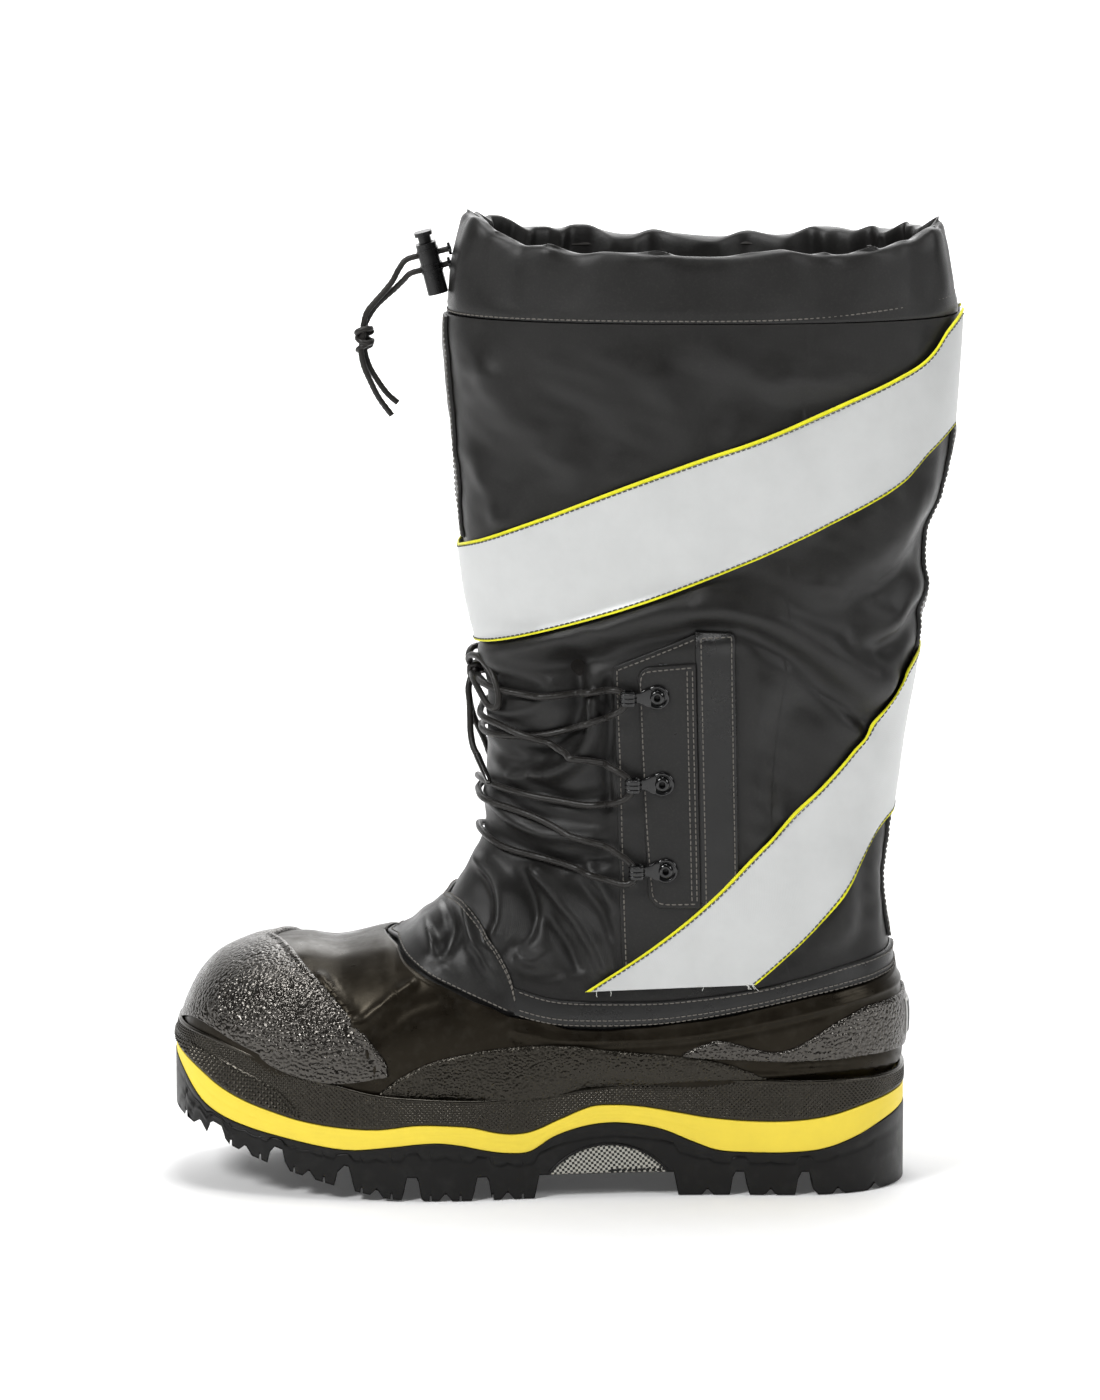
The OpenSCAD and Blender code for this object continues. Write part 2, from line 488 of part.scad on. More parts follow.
// A sheet over the flat of the sole inside the form. Its rows are the inner boot's rows
// from the toe to the heel, so that the layers stay parallel.
module sole_sheet(dout, thickness, first, last, spread) {
    layer(function(u, v, k) form(liner_row(round(mix(first, last, u))),
        180 + mix(-spread, spread, v), dout - (1 - k) * thickness), last - first, 6);
}
module puncture_plate() {
    color("#b9bcc0") sole_sheet(-3 * gap, plate_t, 2, 15, 27);
}
module insole_board() {
    color("#a98b5f") sole_sheet(-4 * gap - plate_t, board_t, 2, 15, 27);
}

// ---------- Rubber lower ----------
shell_out = gap + shell_t;
shell_line = located(concat(vamp_edge, [for (i = [1 : len(collar_edge) - 2]) collar_edge[i]]));
shell_open_t = shell_line[0][0];
shell_end_t = locate([144, 93])[0];
module rubber_shell() {
    rows = 32;
    closed_rows = 11;
    opening = concat([[shell_open_t, 0]], [for (i = [1 : len(shell_line) - 1]) shell_line[i]],
        [[shell_end_t, 172]]);
    // Section and edge angle of row i: whole sections first, then along the opening
    function row(i) = i < closed_rows ? [shell_open_t * (i / (closed_rows - 1)) ^ 1.3, 0] :
        along(opening, (i - closed_rows + 1) / (rows - closed_rows + 1));
    color("#1d1d1e") layer(function(u, v, k)
        let (q = row(round(u * rows)))
        form(q[0], mix(q[1], 360 - q[1], v), k == 0 ? gap : shell_out), rows, 24,
        rings = closed_rows, pole = true);
}
// A thin wall that follows the footprint, from the midsole up to a line seen from the side
module edge_band(grow_in, grow_out, high, x0, x1, steps) {
    xs = [for (i = [0 : steps]) mix(x0, x1, i / steps)];
    intersection() {
        linear_extrude(100) difference() {
            footprint(grow_out);
            footprint(grow_in);
        }
        rotate([90, 0, 0]) linear_extrude(160, center = true) polygon(concat(
            [for (x = xs) [x, curve(midsole_top, x) + gap]],
            [for (i = [steps : -1 : 0])
                [xs[i], max(curve(high, xs[i]), curve(midsole_top, xs[i]) + 2 * gap)]]));
    }
}
module foxing_strip() {
    color("#202021") edge_band(-1.5, 0, rand_edge, -171, 150, 64);
}
module toe_guard() {
    color("#161617") edge_band(gap / 2, 0.6, guard_edge, -171, -114, 20);
}
module toe_bumper() {
    edge = located(bumper_edge);
    corner = [0.09, 104];
    color("#242425") layer(function(u, v, k)
        let (s = 2 * v - 1,
             back_q = [along(edge, abs(s))[0], along(edge, abs(s))[1]],
             front_q = [mix(corner[0], edge[len(edge) - 1][0] - 0.03, abs(s) ^ 3),
                mix(abs(s) * corner[1], edge[len(edge) - 1][1], abs(s) ^ 3)],
             q = mix(front_q, back_q, u))
        form(q[0], s < 0 ? -q[1] : q[1],
            k == 0 ? shell_out + gap : shell_out + gap + panel_t), 7, 20);
}
module side_panel(side) {
    low = [for (p = side_panel_edge) [p[0], curve(rand_edge, p[0]) + 1]];
    high = [for (p = side_panel_edge) [p[0], max(p[1], curve(rand_edge, p[0]) + 2)]];
    color("#242425") side_strip(low, high, side, shell_out + gap,
        shell_out + gap + panel_t, 20, 4);
}
module side_panel_lateral() side_panel(lateral);
module side_panel_medial() side_panel(medial);
module heel_counter_panel() {
    color("#242425") wrap_strip(counter_bottom, counter_top, 180, shell_out + gap,
        shell_out + gap + panel_t, 36, 3);
}
module heel_label() {
    inner = shell_out + 2 * gap + panel_t;
    color("#101010") layer(function(u, v, k)
        form(mix(locate([146, 64])[0], locate([146, 79])[0], v),
            180 + mix(-11, 11, u), inner + k * 1), 6, 3);
}
module safety_toe_cap() {
    color("#9a9da1") layer(function(u, v, k)
        form(0.66 * u ^ 1.2, mix(-128, 128, v), k == 0 ? -gap - toe_cap_t : -gap),
        10, 16, pole = true);
}

// ---------- Fabric shaft ----------
skirt_line = located(concat(
    [for (p = vamp_edge) [p[0] + 7, p[1] - 16]],
    [for (i = [1 : len(collar_edge) - 1]) [collar_edge[i][0], collar_edge[i][1] - skirt_drop]]));
// The same lines as section over angle, from the front to the back
function by_angle(line, first, last) = concat([[0, first]],
    [for (q = line) if (q[1] > 20 && q[1] < 176) [q[1], q[0]]], [[180, last]]);
skirt_by_angle = by_angle(skirt_line, 0.93, locate([144, 71])[0]);
edge_by_angle = by_angle(shell_line, 0.985, shell_end_t);
// Each half of the shaft fabric. Its lowest rows are the skirt, tucked inside the shell.
module quarter(side) {
    rows = 19;
    skirt = 4 / rows;
    color("#2b2b2d") layer(function(u, v, k)
        let (a = mix(1, 179, v), edge = curve(edge_by_angle, a) + 0.02,
             t = u < skirt ? mix(curve(skirt_by_angle, a), edge, u / skirt) :
                mix(edge, level_t(hem_z), (u - skirt) / (1 - skirt)),
             inset = u < skirt ? 1.2 : 0)
        form(t, side * a, (k == 0 ? -fabric_t : 0) - inset), rows, 17);
}
module quarter_lateral() quarter(lateral);
module quarter_medial() quarter(medial);
module vamp_tab() {
    low = [for (i = [len(vamp_edge) - 1 : -1 : 0]) vamp_edge[i] + [1, 1.5]];
    high = [[-21, 84], [-24, 97], [-33, 113], [-40, 121.5], [-46, 124.2], [-52, 125]];
    color("#2f2f31") wrap_strip(low, high, 0, 2 * gap, 2 * gap + patch_t, 20, 6);
}
module shell_binding() {
    color("#262628") wrap_strip(collar_edge + [for (p = collar_edge) [0, 1]], binding_edge,
        180, 1.5 * gap, 1.5 * gap + patch_t, 40, 2);
}
module front_strip() {
    color("#2f2f31") layer(function(u, v, k)
        form(mix(level_t(279), level_t(hem_z - 1), u), mix(-9, 9, v), gap + k * patch_t),
        12, 2);
}
module back_strip() {
    color("#2f2f31") layer(function(u, v, k)
        form(mix(locate([144, 104])[0], level_t(hem_z - 1), u), 180 + mix(-7, 7, v),
            gap + k * patch_t), 26, 2);
}
module ankle_panel(side) {
    color("#303032") side_panel_quad(ankle_corners, side, gap, gap + patch_t, 5, 14);
}
module ankle_panel_lateral() ankle_panel(lateral);
module ankle_panel_medial() ankle_panel(medial);
module ankle_strip(side) {
    color("#3a3a3c") side_panel_quad(strip_corners, side, gap, gap + patch_t, 3, 12);
}
module ankle_strip_lateral() ankle_strip(lateral);
module ankle_strip_medial() ankle_strip(medial);
stay_out = 2 * (gap + patch_t);
module lace_stay(side) {
    color("#2c2c2e") side_panel_quad(stay_corners, side, stay_out - patch_t, stay_out, 4, 12);
}
module lace_stay_lateral() lace_stay(lateral);
module lace_stay_medial() lace_stay(medial);

// ---------- Lace loops ----------
// Puts its children on the form: local x points forward, local z straight out
module placed(p, d, side) {
    at = on_side(p, d, side);
    n = unit(cross(on_side(p + [2, 0], d, side) - at, on_side(p + [0, 2], d, side) - at));
    out = n * sign(n[1] * -side);
    ex = unit([-1, 0, 0] - out * (out * [-1, 0, 0]));
    ey = cross(out, ex);
    multmatrix([[ex[0], ey[0], out[0], at[0]], [ex[1], ey[1], out[1], at[1]],
        [ex[2], ey[2], out[2], at[2]], [0, 0, 0, 1]]) children();
}
washer_t = 1.2;
neck_l = 13;
module lace_loop() {
    difference() {
        union() {
            cylinder(h = washer_t, d = washer_d, $fn = 48);
            translate([0, -2.4, 0]) cube([neck_l - 2, 4.8, washer_t]);
            translate([neck_l - 4, -3, 0]) cube([6.4, 6, 5.2]);
        }
        translate([0, 0, -1]) cylinder(h = 3, d = rivet_d * 0.6, $fn = 32);
        translate([neck_l - 0.8, 0, 2.6]) rotate([90, 0, 0])
            cylinder(h = 10, d = lace_d + 0.8, center = true, $fn = 32);
    }
}
module lace_loops(side) {
    color("#0e0e0f") for (p = loop_places) placed(p, stay_out + gap, side) lace_loop();
}
module lace_loops_lateral() lace_loops(lateral);
module lace_loops_medial() lace_loops(medial);
module rivets() {
    color("#2a2a2c") for (side = [lateral, medial]) for (p = loop_places)
        placed(p, stay_out + gap, side) difference() {
            union() {
                translate([0, 0, washer_t]) cylinder(h = 1, d = rivet_d, $fn = 32);
                translate([0, 0, -2]) cylinder(h = 3.4, d = rivet_d * 0.6 - 0.1, $fn = 32);
            }
            translate([0, 0, washer_t - 0.4]) cylinder(h = 3, d = rivet_d * 0.4, $fn = 24);
        }
}

// ---------- Lace ----------
function front_t(z) = z >= hinge[1] ? level_t(z) :
    1 + acos((hinge[1] - z) / curve(instep, 84)) / 90;
lace_on_form = [for (p = lace_route) let (q = locate([p[0], p[1]]))
    p[2] == 0 ? [front_t(p[1]), 0, p[3]] : [q[0], p[2] * q[1], p[3]]];
lace_rings = 82;
lace_path = [for (i = [0 : lace_rings - 1])
    let (q = along(lace_on_form, i / (lace_rings - 1))) form(q[0], q[1], q[2])];
module boot_lace() {
    color("#131313") cord(lace_path, lace_d, lace_rings);
}
module lace_knot() {
    color("#131313") translate(lace_knot_at) {
        rotate([0, 60, 0]) rotate_extrude($fn = 32) translate([2.2, 0]) circle(d = 3.4, $fn = 16);
        rotate([70, 0, 20]) rotate_extrude($fn = 32) translate([2.2, 0])
            circle(d = 3.2, $fn = 16);
    }
}
module lace_bow_lateral() color("#131313") cord(bow, lace_d, 22);
module lace_bow_medial() {
    color("#131313") cord([for (p = bow) [p[0], -p[1], p[2]]], lace_d, 22);
}
module lace_tail_lateral() color("#131313") cord(tail_lateral, lace_d, 10);
module lace_tail_medial() color("#131313") cord(tail_medial, lace_d, 10);
module lace_tip(route) {
    end = route[len(route) - 1];
    way = unit(end - route[len(route) - 2]);
    translate(end) rotate([0, acos(way[2]), atan2(way[1], way[0])])
        cylinder(h = tip_l, d = tip_d, $fn = 24);
}
module lace_tips() {
    color("#3c3c3e") {
        lace_tip(tail_lateral);
        lace_tip(tail_medial);
    }
}

// ---------- Snow collar and drawcord ----------
collar_wall = 1.3;
hem_d = 7.1;            // depth of the folded hem, front to back of its fold
// Outline of the folded hem: distance out from the form, height, and whether the height
// is measured from the rim (1) or from the hem seam (0)
collar_outline = [[0, 0.4, 0], [0, -16, 1], [0, -4, 1], [-0.9, -1, 1], [-2.2, 0, 1],
    [-4.8, 0, 1], [-6.2, -1, 1], [-hem_d, -4, 1], [-hem_d, -16, 1], [-hem_d, -3, 0],
    [-hem_d + collar_wall, -3, 0], [-hem_d + collar_wall, -16, 1],
    [-hem_d + collar_wall, -4, 1], [-4.6, -collar_wall - 0.8, 1],
    [-2.4, -collar_wall - 0.8, 1], [-collar_wall, -4, 1], [-collar_wall, -16, 1],
    [-collar_wall, 0.4, 0]];
module snow_collar() {
    color("#28282a") hoop(function(u, v)
        let (a = 360 * u, p = collar_outline[round(v * len(collar_outline))],
             z = p[1] + (p[2] == 1 ? rim(a) : hem_z))
        form(level_t(z), a, p[0]), 36, len(collar_outline));
}
module collar_grommets() {
    color("#111112") for (s = [end_upper, end_lower])
        translate(s[2] + [-0.2, 0, 0]) rotate([0, -90 - lock_tilt, 0]) difference() {
            cylinder(h = 1.2, d = 5.4, $fn = 32);
            translate([0, 0, -1]) cylinder(h = 4, d = lock_bore, $fn = 24);
        }
}
module drawcord() {
    color("#151515") hoop(function(u, v)
        let (a = 360 * u, c = form(level_t(cord_z), a, -3.5),
             o = form(level_t(cord_z), a, -2.5), n = unit(o - c))
        c + (n * cos(360 * v) + [0, 0, 1] * sin(360 * v)) * cord_d / 2, 40, 6);
}
module drawcord_end_upper() color("#151515") cord(end_upper, cord_d, 22);
module drawcord_end_lower() color("#151515") cord(end_lower, cord_d, 22);
module drawcord_knot() {
    color("#151515") translate(knot_at) rotate([0, 8, 0]) {
        rotate_extrude($fn = 32) translate([2.6, 1.6]) circle(d = 3.6, $fn = 16);
        translate([0, 0, -2]) rotate([24, 0, 0]) rotate_extrude($fn = 32)
            translate([2.6, 0]) circle(d = 3.4, $fn = 16);
    }
}

// ---------- Cord lock ----------
module in_lock() translate(lock_at) rotate([0, -lock_tilt, 0]) children();
button_slot = strand_gap + cord_d + button_travel + 0.8;
button_low = strand_gap / 2 + cord_d / 2 + 1.6;
spring_turns = 4;
module strand_bores(d) {
    for (z = [-1, 1]) translate([0, 0, z * strand_gap / 2]) rotate([0, 90, 0])
        cylinder(h = 30, d = d, center = true, $fn = 32);
}
module oval_prism(size, h) {
    hull() for (y = [-1, 1]) translate([0, y * (size[1] - size[0]) / 2, 0])
        cylinder(h = h, d = size[0], $fn = 32);
}
module cord_lock_body() {
    color("#0c0c0d") in_lock() difference() {
        translate([0, 0, -lock_low]) {
            oval_prism([lock_size[0], lock_size[1]], lock_size[2]);
            for (z = [9.5, 12, 18.5]) translate([0, 0, z])
                oval_prism([lock_size[0] + 0.8, lock_size[1] + 0.8], 0.9);
        }
        translate([0, 0, 1.4 - lock_low])
            oval_prism([button_size[0] + 0.5, button_size[1] + 0.5], lock_size[2]);
        strand_bores(lock_bore);
    }
}
module cord_lock_button() {
    color("#1a1a1b") in_lock() difference() {
        union() {
            translate([0, 0, -button_low])
                oval_prism(button_size, button_low + lock_size[2] - lock_low + button_rise - 1);
            translate([0, 0, lock_size[2] - lock_low + button_travel + 0.3])
                oval_prism([lock_size[0] - 1, lock_size[1] - 1],
                    button_rise - button_travel - 0.3);
        }
        translate([-10, -lock_bore / 2, -strand_gap / 2 - cord_d / 2 - 0.4])
            cube([20, lock_bore, button_slot]);
    }
}
module cord_lock_spring() {
    low = 1.5 - lock_low;
    high = -button_low - 0.1;
    steps = 8 * spring_turns;
    color("#b0b3b7") in_lock() cord([for (i = [0 : steps])
        let (a = 45 * i)
        [1.7 * cos(a), 3.2 * sin(a), mix(low + 0.4, high - 0.4, i / steps)]],
        0.7, steps + 1, 6);
}

// ---------- Reflective bands ----------
tape_in = 3 * gap + patch_t;
module reflective_band_upper() {
    color("#c6c9ca") wrap_strip(upper_band_bottom, upper_band_top, 0, tape_in,
        tape_in + tape_t, 30, 3);
}
module reflective_band_lower() {
    color("#c6c9ca") wrap_strip(lower_band_bottom, lower_band_top, 180, tape_in,
        tape_in + tape_t, 26, 3);
}
module edgings(low, high, centre, n) {
    share = edging_w / 44;
    for (edge = [[1.004, 1 + share], [-share, -0.004]])
        wrap_strip(low, high, centre, tape_in, tape_in + tape_t * 0.7, n, 1, edge[0], edge[1]);
}
module band_edging_upper() {
    color("#e8e337") edgings(upper_band_bottom, upper_band_top, 0, 30);
}
module band_edging_lower() {
    color("#e8e337") edgings(lower_band_bottom, lower_band_top, 180, 26);
}

// ---------- Inner boot ----------
liner_out = -5;         // outside of the inner boot, inside the form
module inner_boot() {
    color("#3d3b38") layer(function(u, v, k)
        form(liner_row(round(u * liner_rows)), 360 * v,
            k == 0 ? liner_out - liner_t : liner_out), liner_rows, 20,
        rings = liner_rows + 1, pole = true);
}
module inner_boot_cuff() {
    color("#242322") hoop(function(u, v)
        let (a = 360 * u, s = 360 * v + 45)
        form(level_t(liner_top + gap + 1.6 + 2.2 * sin(s)), a,
            liner_out - liner_t / 2 + (liner_t / 2 - gap) * cos(s)), 40, 4);
}
module inner_boot_pull_loop() {
    d = liner_out - liner_t - 2;
    loop = [for (p = [[9, 356], [9.2, 370], [9.5, 384], [14, 391], [18.5, 384], [18.8, 370],
        [19, 356]])
        on_side(p, d, medial)];
    color("#1a1a1a") cord(loop, 3, 16);
}
module footbed() {
    color("#5a5a5c") sole_sheet(liner_out - liner_t - 8 * gap, footbed_t, 2, 15, 27);
}

outsole();
midsole();
arch_insert_lateral();
arch_insert_medial();
puncture_plate();
insole_board();
rubber_shell();
foxing_strip();
toe_guard();
toe_bumper();
side_panel_lateral();
side_panel_medial();
heel_counter_panel();
heel_label();
safety_toe_cap();
quarter_lateral();
quarter_medial();
vamp_tab();
shell_binding();
front_strip();
back_strip();
ankle_panel_lateral();
ankle_panel_medial();
ankle_strip_lateral();
ankle_strip_medial();
lace_stay_lateral();
lace_stay_medial();
lace_loops_lateral();
lace_loops_medial();
rivets();
boot_lace();
lace_knot();
lace_bow_lateral();
lace_bow_medial();
lace_tail_lateral();
lace_tail_medial();
lace_tips();
snow_collar();
collar_grommets();
drawcord();
drawcord_end_upper();
drawcord_end_lower();
drawcord_knot();
cord_lock_body();
cord_lock_button();
cord_lock_spring();
reflective_band_upper();
reflective_band_lower();
band_edging_upper();
band_edging_lower();
inner_boot();
inner_boot_cuff();
inner_boot_pull_loop();
footbed();
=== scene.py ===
import json
import math
import bpy
import numpy as np
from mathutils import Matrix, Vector

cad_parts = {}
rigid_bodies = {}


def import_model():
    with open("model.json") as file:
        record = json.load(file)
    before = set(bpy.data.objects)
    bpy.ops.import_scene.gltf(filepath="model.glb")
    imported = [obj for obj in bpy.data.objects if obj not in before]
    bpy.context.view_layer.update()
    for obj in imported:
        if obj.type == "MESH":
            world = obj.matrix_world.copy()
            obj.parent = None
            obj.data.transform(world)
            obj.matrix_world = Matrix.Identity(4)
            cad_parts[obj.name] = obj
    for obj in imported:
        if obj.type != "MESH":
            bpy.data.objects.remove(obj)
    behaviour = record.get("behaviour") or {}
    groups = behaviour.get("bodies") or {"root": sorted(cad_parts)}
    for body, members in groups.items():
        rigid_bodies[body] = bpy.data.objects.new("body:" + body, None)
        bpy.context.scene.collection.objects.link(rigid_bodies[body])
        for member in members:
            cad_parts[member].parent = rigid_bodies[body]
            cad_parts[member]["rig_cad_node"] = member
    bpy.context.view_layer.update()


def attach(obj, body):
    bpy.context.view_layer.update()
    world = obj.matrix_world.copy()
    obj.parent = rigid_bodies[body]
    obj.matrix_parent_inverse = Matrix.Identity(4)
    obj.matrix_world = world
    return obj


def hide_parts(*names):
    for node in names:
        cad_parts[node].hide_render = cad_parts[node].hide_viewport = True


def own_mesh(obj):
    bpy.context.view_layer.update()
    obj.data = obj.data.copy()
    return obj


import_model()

MM = 0.001
RNG = np.random.default_rng(11)
LATERAL, MEDIAL = 1, -1
SIDES = ((LATERAL, "lateral"), (MEDIAL, "medial"))

# ---------------------------------------------------------------- camera
def make_camera():
    data = bpy.data.cameras.new("camera")
    data.sensor_width, data.lens = 36, 179.4
    data.clip_start, data.clip_end = 0.1, 50
    cam = bpy.data.objects.new("camera", data)
    bpy.context.scene.collection.objects.link(cam)
    e = math.radians(9.5)
    back = Vector((0, -math.cos(e), math.sin(e)))
    cam.location = Vector((-0.0065, 0, 0.207)) + back * 3.0
    cam.rotation_euler = (-back).to_track_quat("-Z", "Y").to_euler()
    bpy.context.scene.camera = cam

make_camera()

# ---------------------------------------------------------------- the form
HINGE_X, HINGE_Z, TOP_Z = -72.0, 156.0, 420.0
TOE_L, TOE_W, TOE_P, SOLE_GAP, NOSE_T, NOSE_Z = 91.5, 52.0, 2.5, 3.0, 0.25, 60.0
TOE_TOP = [[0, 60], [0.2, 75], [0.3, 83.5], [0.42, 92], [0.52, 96.5], [0.64, 100.5],
    [0.77, 101.5], [0.88, 100], [1, 105.5]]
INSTEP = [[0, 50.5], [15, 43.5], [30, 40], [45, 37], [60, 36], [75, 37], [90, 38.5]]
FRONT = [[156, -33.5], [226, -33.5], [244, -38.5], [261, -42], [287, -45], [331, -47.5],
    [366, -51], [385, -49.5], [397, -48.5], [420, -43]]
BACK = [[30, 141.5], [50, 143], [75, 144.5], [95, 140.5], [113, 139], [148, 138],
    [183, 142], [218, 147.5], [252, 151.5], [287, 157.5], [322, 164], [357, 166.9],
    [374, 167.4], [400, 164], [420, 160]]
WIDTH = [[1, 52], [1.25, 50], [1.5, 46.5], [1.75, 44.5], [2, 45], [2.35, 48.5],
    [2.65, 51.5], [3, 53]]
SQUARE_TOP = [[0, 2], [0.5, 2.3], [1, 2.4], [3, 2.4]]
SQUARE_SOLE = [[0, 2], [0.3, 3.5], [1, 5], [1.45, 4], [1.75, 2.6], [2, 2.4], [3, 2.4]]
WIDEST = [[0, 0.5], [0.4, 0.38], [1, 0.36], [1.5, 0.4], [2, 0.5], [3, 0.5]]
SWING = [[0, 5.8], [0.4, 4.8], [0.7, 2.2], [1, -0.4], [1.4, -2.2], [2, 0], [3, 0]]
MIDSOLE_TOP = [[-169, 59], [-163, 55], [-157, 51], [-148, 45], [-137, 40], [-124, 36],
    [-112, 33], [-97, 31], [-80, 30.5], [-64, 32.5], [-52, 32.5], [-40, 31.5], [-30, 29],
    [-22, 28], [-14, 29], [-2, 34], [11, 39], [21, 39.5], [33, 38.5], [47, 36],
    [61, 33.5], [78, 32], [96, 32], [113, 34], [131, 38.5], [150, 42.5]]
MIDSOLE_BOTTOM = [[-169, 56], [-165, 50], [-160, 42.5], [-155, 37], [-147, 32.5],
    [-136, 29], [-125, 26.5], [-103, 22.5], [-91, 21.5], [-76, 23], [-56, 25],
    [-45, 24], [-34, 21.5], [-24, 20], [-15, 20.5], [-5, 26.5], [7, 30.5], [19, 32],
    [31, 31], [42, 28.5], [54, 23.5], [65, 19.5], [78, 18.5], [96, 18.5], [111, 20],
    [125, 24.5], [137, 30], [150, 35]]
GROUND = [[-169, 32], [-166, 30], [-153, 24], [-127, 14], [-99, 6], [-84, 2.5],
    [-72, 0.4], [-60, 0], [151, 0]]
LUG_GAPS = [-150, -124, -95, -66, -36, 74, 102]
FOOT_MID = [[-72, 57.5], [-45, 56.5], [-10, 50], [25, 46], [60, 45.5], [95, 46.5]]
FOOT_TOE_L, FOOT_HEEL_L, FOOT_HEEL_P, HEEL_X = 96.5, 51.5, 2.4, 95
FOOT_SWING = [[-169, 5.8], [-130, 4.8], [-100, 2.2], [-72, -0.4], [0, -2.2], [60, -0.5],
    [150, 0]]
VAMP_EDGE = [[-78, 105], [-70, 100], [-60, 94], [-47, 88.5], [-33, 83], [-22, 78.5]]
COLLAR_EDGE = [[-22, 78.5], [-2, 74], [32, 73.5], [56, 76], [80, 80.5], [101, 85],
    [118, 88], [130, 90], [136, 91.3], [144, 93]]
BINDING_EDGE = [[-22, 91], [-2, 85.5], [32, 84.5], [56, 86], [80, 89.5], [101, 94],
    [118, 98], [130, 100], [136, 101], [144, 102]]
RAND_EDGE = [[-169, 69], [-162, 68], [-152, 66], [-136, 61], [-119, 55], [-97, 49.5],
    [-81, 46], [-64, 44.5], [-31, 43.5], [-2, 45.5], [7, 47], [43, 50], [78, 50.5],
    [102, 50], [150, 50]]
GUARD_EDGE = [[-169, 64], [-160, 62], [-140, 54], [-124, 47], [-115, 39], [-113, 34]]
BUMPER_EDGE = [[-124, 104.5], [-118, 100.5], [-110, 95], [-99, 85.5], [-89, 76],
    [-80, 65.5], [-75, 55]]
SIDE_PANEL_EDGE = [[-79, 48], [-70, 54.5], [-56, 61], [-37, 65], [-20, 67], [-2, 67.5],
    [19, 65], [49, 62], [66, 59], [84, 52]]
COUNTER_TOP = [[49, 63], [57, 66.5], [66, 68.5], [83, 64], [91, 63.5], [99, 66],
    [108, 71.5], [117, 76.5], [127, 81], [134, 82], [139, 82.7], [142.5, 83], [148, 83.5]]
COUNTER_BOTTOM = [[49, 62], [57, 61], [66, 60.5], [83, 59.5], [91, 59], [99, 59],
    [108, 59], [117, 59.4], [127, 60], [134, 60.2], [139, 60.3], [142.5, 60.2], [148, 60]]
UPPER_BAND_TOP = [[166.6, 376], [160, 369], [144, 353], [91, 329], [58, 317], [26, 305],
    [-10, 290], [-33, 280], [-44, 274]]
UPPER_BAND_BOTTOM = [[163.9, 329], [154, 320], [136, 304], [91, 281], [58, 267], [26, 255],
    [-6, 244.5], [-27, 238], [-36, 235]]
LOWER_BAND_TOP = [[11, 89], [37, 106], [63, 128], [90, 157], [117, 185], [142, 220],
    [150, 231]]
LOWER_BAND_BOTTOM = [[79, 92], [95, 106], [107, 118], [119, 134], [129, 150],
    [136, 159], [141, 163]]
ANKLE_CORNERS = [[20.5, 229], [55, 243.5], [58, 91], [24.5, 91]]
STRIP_CORNERS = [[55.8, 243], [71.5, 244], [74, 116], [58.8, 110]]
STAY_CORNERS = [[31, 229], [55.2, 231], [57.5, 125], [36, 125]]
(A_X, A_Z), (B_X, B_Z) = STAY_CORNERS[:2]
STAY_SEAMS = [
    [[A_X + 1.6, A_Z - 6], [A_X + 2.8, A_Z - 2.6], [A_X + 6.5, A_Z - 1.4], [B_X - 1.5, B_Z - 1.8]],
    [[A_X + 1.6, A_Z - 6], [33.6, 195], [35.3, 160], [37.4, 132]],
    [[37.4, 132], [38.6, 128.8], [42.6, 126.8], [55.5, 127]],
    [[B_X - 1.4, B_Z - 3], [54.4, 196], [55.2, 161], [55.9, 128]],
    [[B_X - 3.6, B_Z - 3], [52.2, 196], [53.0, 161], [53.8, 128]]]
LOOP_PLACES = [[39.5, 216.5], [41.5, 179], [43, 141.5]]
HEM_Z, RIM_Z, RIM_FRONT, RIM_BACK = 375.0, 404.0, 13.0, 8.0
QUARTER_T, PATCH_IN, STAY_IN, PATCH_T, TAPE_IN, TAPE_T = 1.9, 0.3, 1.8, 1.2, 2.1, 0.6
LINER_OUT, LINER_T, LINER_TOP = -5.0, 7.5, 367.0


def curve(line, x):
    """A smooth curve through the points of a line, read at x."""
    q = np.asarray(line, float)
    xs, ys = q[:, 0], q[:, 1]
    n = len(q)
    a, b = np.maximum(np.arange(n) - 1, 0), np.minimum(np.arange(n) + 1, n - 1)
    m = (ys[b] - ys[a]) / (xs[b] - xs[a])
    x = np.clip(np.asarray(x, float), xs[0], xs[-1])
    i = np.clip(np.searchsorted(xs, x, side="right") - 1, 0, n - 2)
    h = xs[i + 1] - xs[i]
    s = (x - xs[i]) / h
    return (ys[i] * (2 * s**3 - 3 * s**2 + 1) + ys[i + 1] * (3 * s**2 - 2 * s**3)
        + h * m[i] * (s**3 - 2 * s**2 + s) + h * m[i + 1] * (s**3 - s**2))


def along(route, s):
    """A smooth route through points, read at shares s of its number of spans."""
    p = np.asarray(route, float)
    n = len(p) - 1
    k = np.clip(np.asarray(s, float), 0, 1) * n
    i = np.minimum(np.floor(k).astype(int), n - 1)
    f = (k - i)[..., None]
    p0, p1, p2, p3 = p[np.maximum(i - 1, 0)], p[i], p[i + 1], p[np.minimum(i + 2, n)]
    return 0.5 * (2 * p1 + (p2 - p0) * f + (2 * p0 - 5 * p1 + 4 * p2 - p3) * f**2
        + (3 * p1 - p0 - 3 * p2 + p3) * f**3)


def mix(a, b, s):
    return a + (b - a) * s


def smooth(lo, hi, x):
    s = np.clip((np.asarray(x, float) - lo) / (hi - lo), 0, 1)
    return s * s * (3 - 2 * s)


def run(p):
    """The length along a line of points up to each of them."""
    return np.concatenate([[0], np.cumsum(np.linalg.norm(np.diff(p, axis=0), axis=1))])


def at_lengths(q, s, p):
    """The places at lengths q along a line of points p with run s."""
    return np.stack([np.interp(q, s, c) for c in np.asarray(p).T], -1)


def unit(v):
    return v / np.maximum(np.linalg.norm(v, axis=-1, keepdims=True), 1e-9)


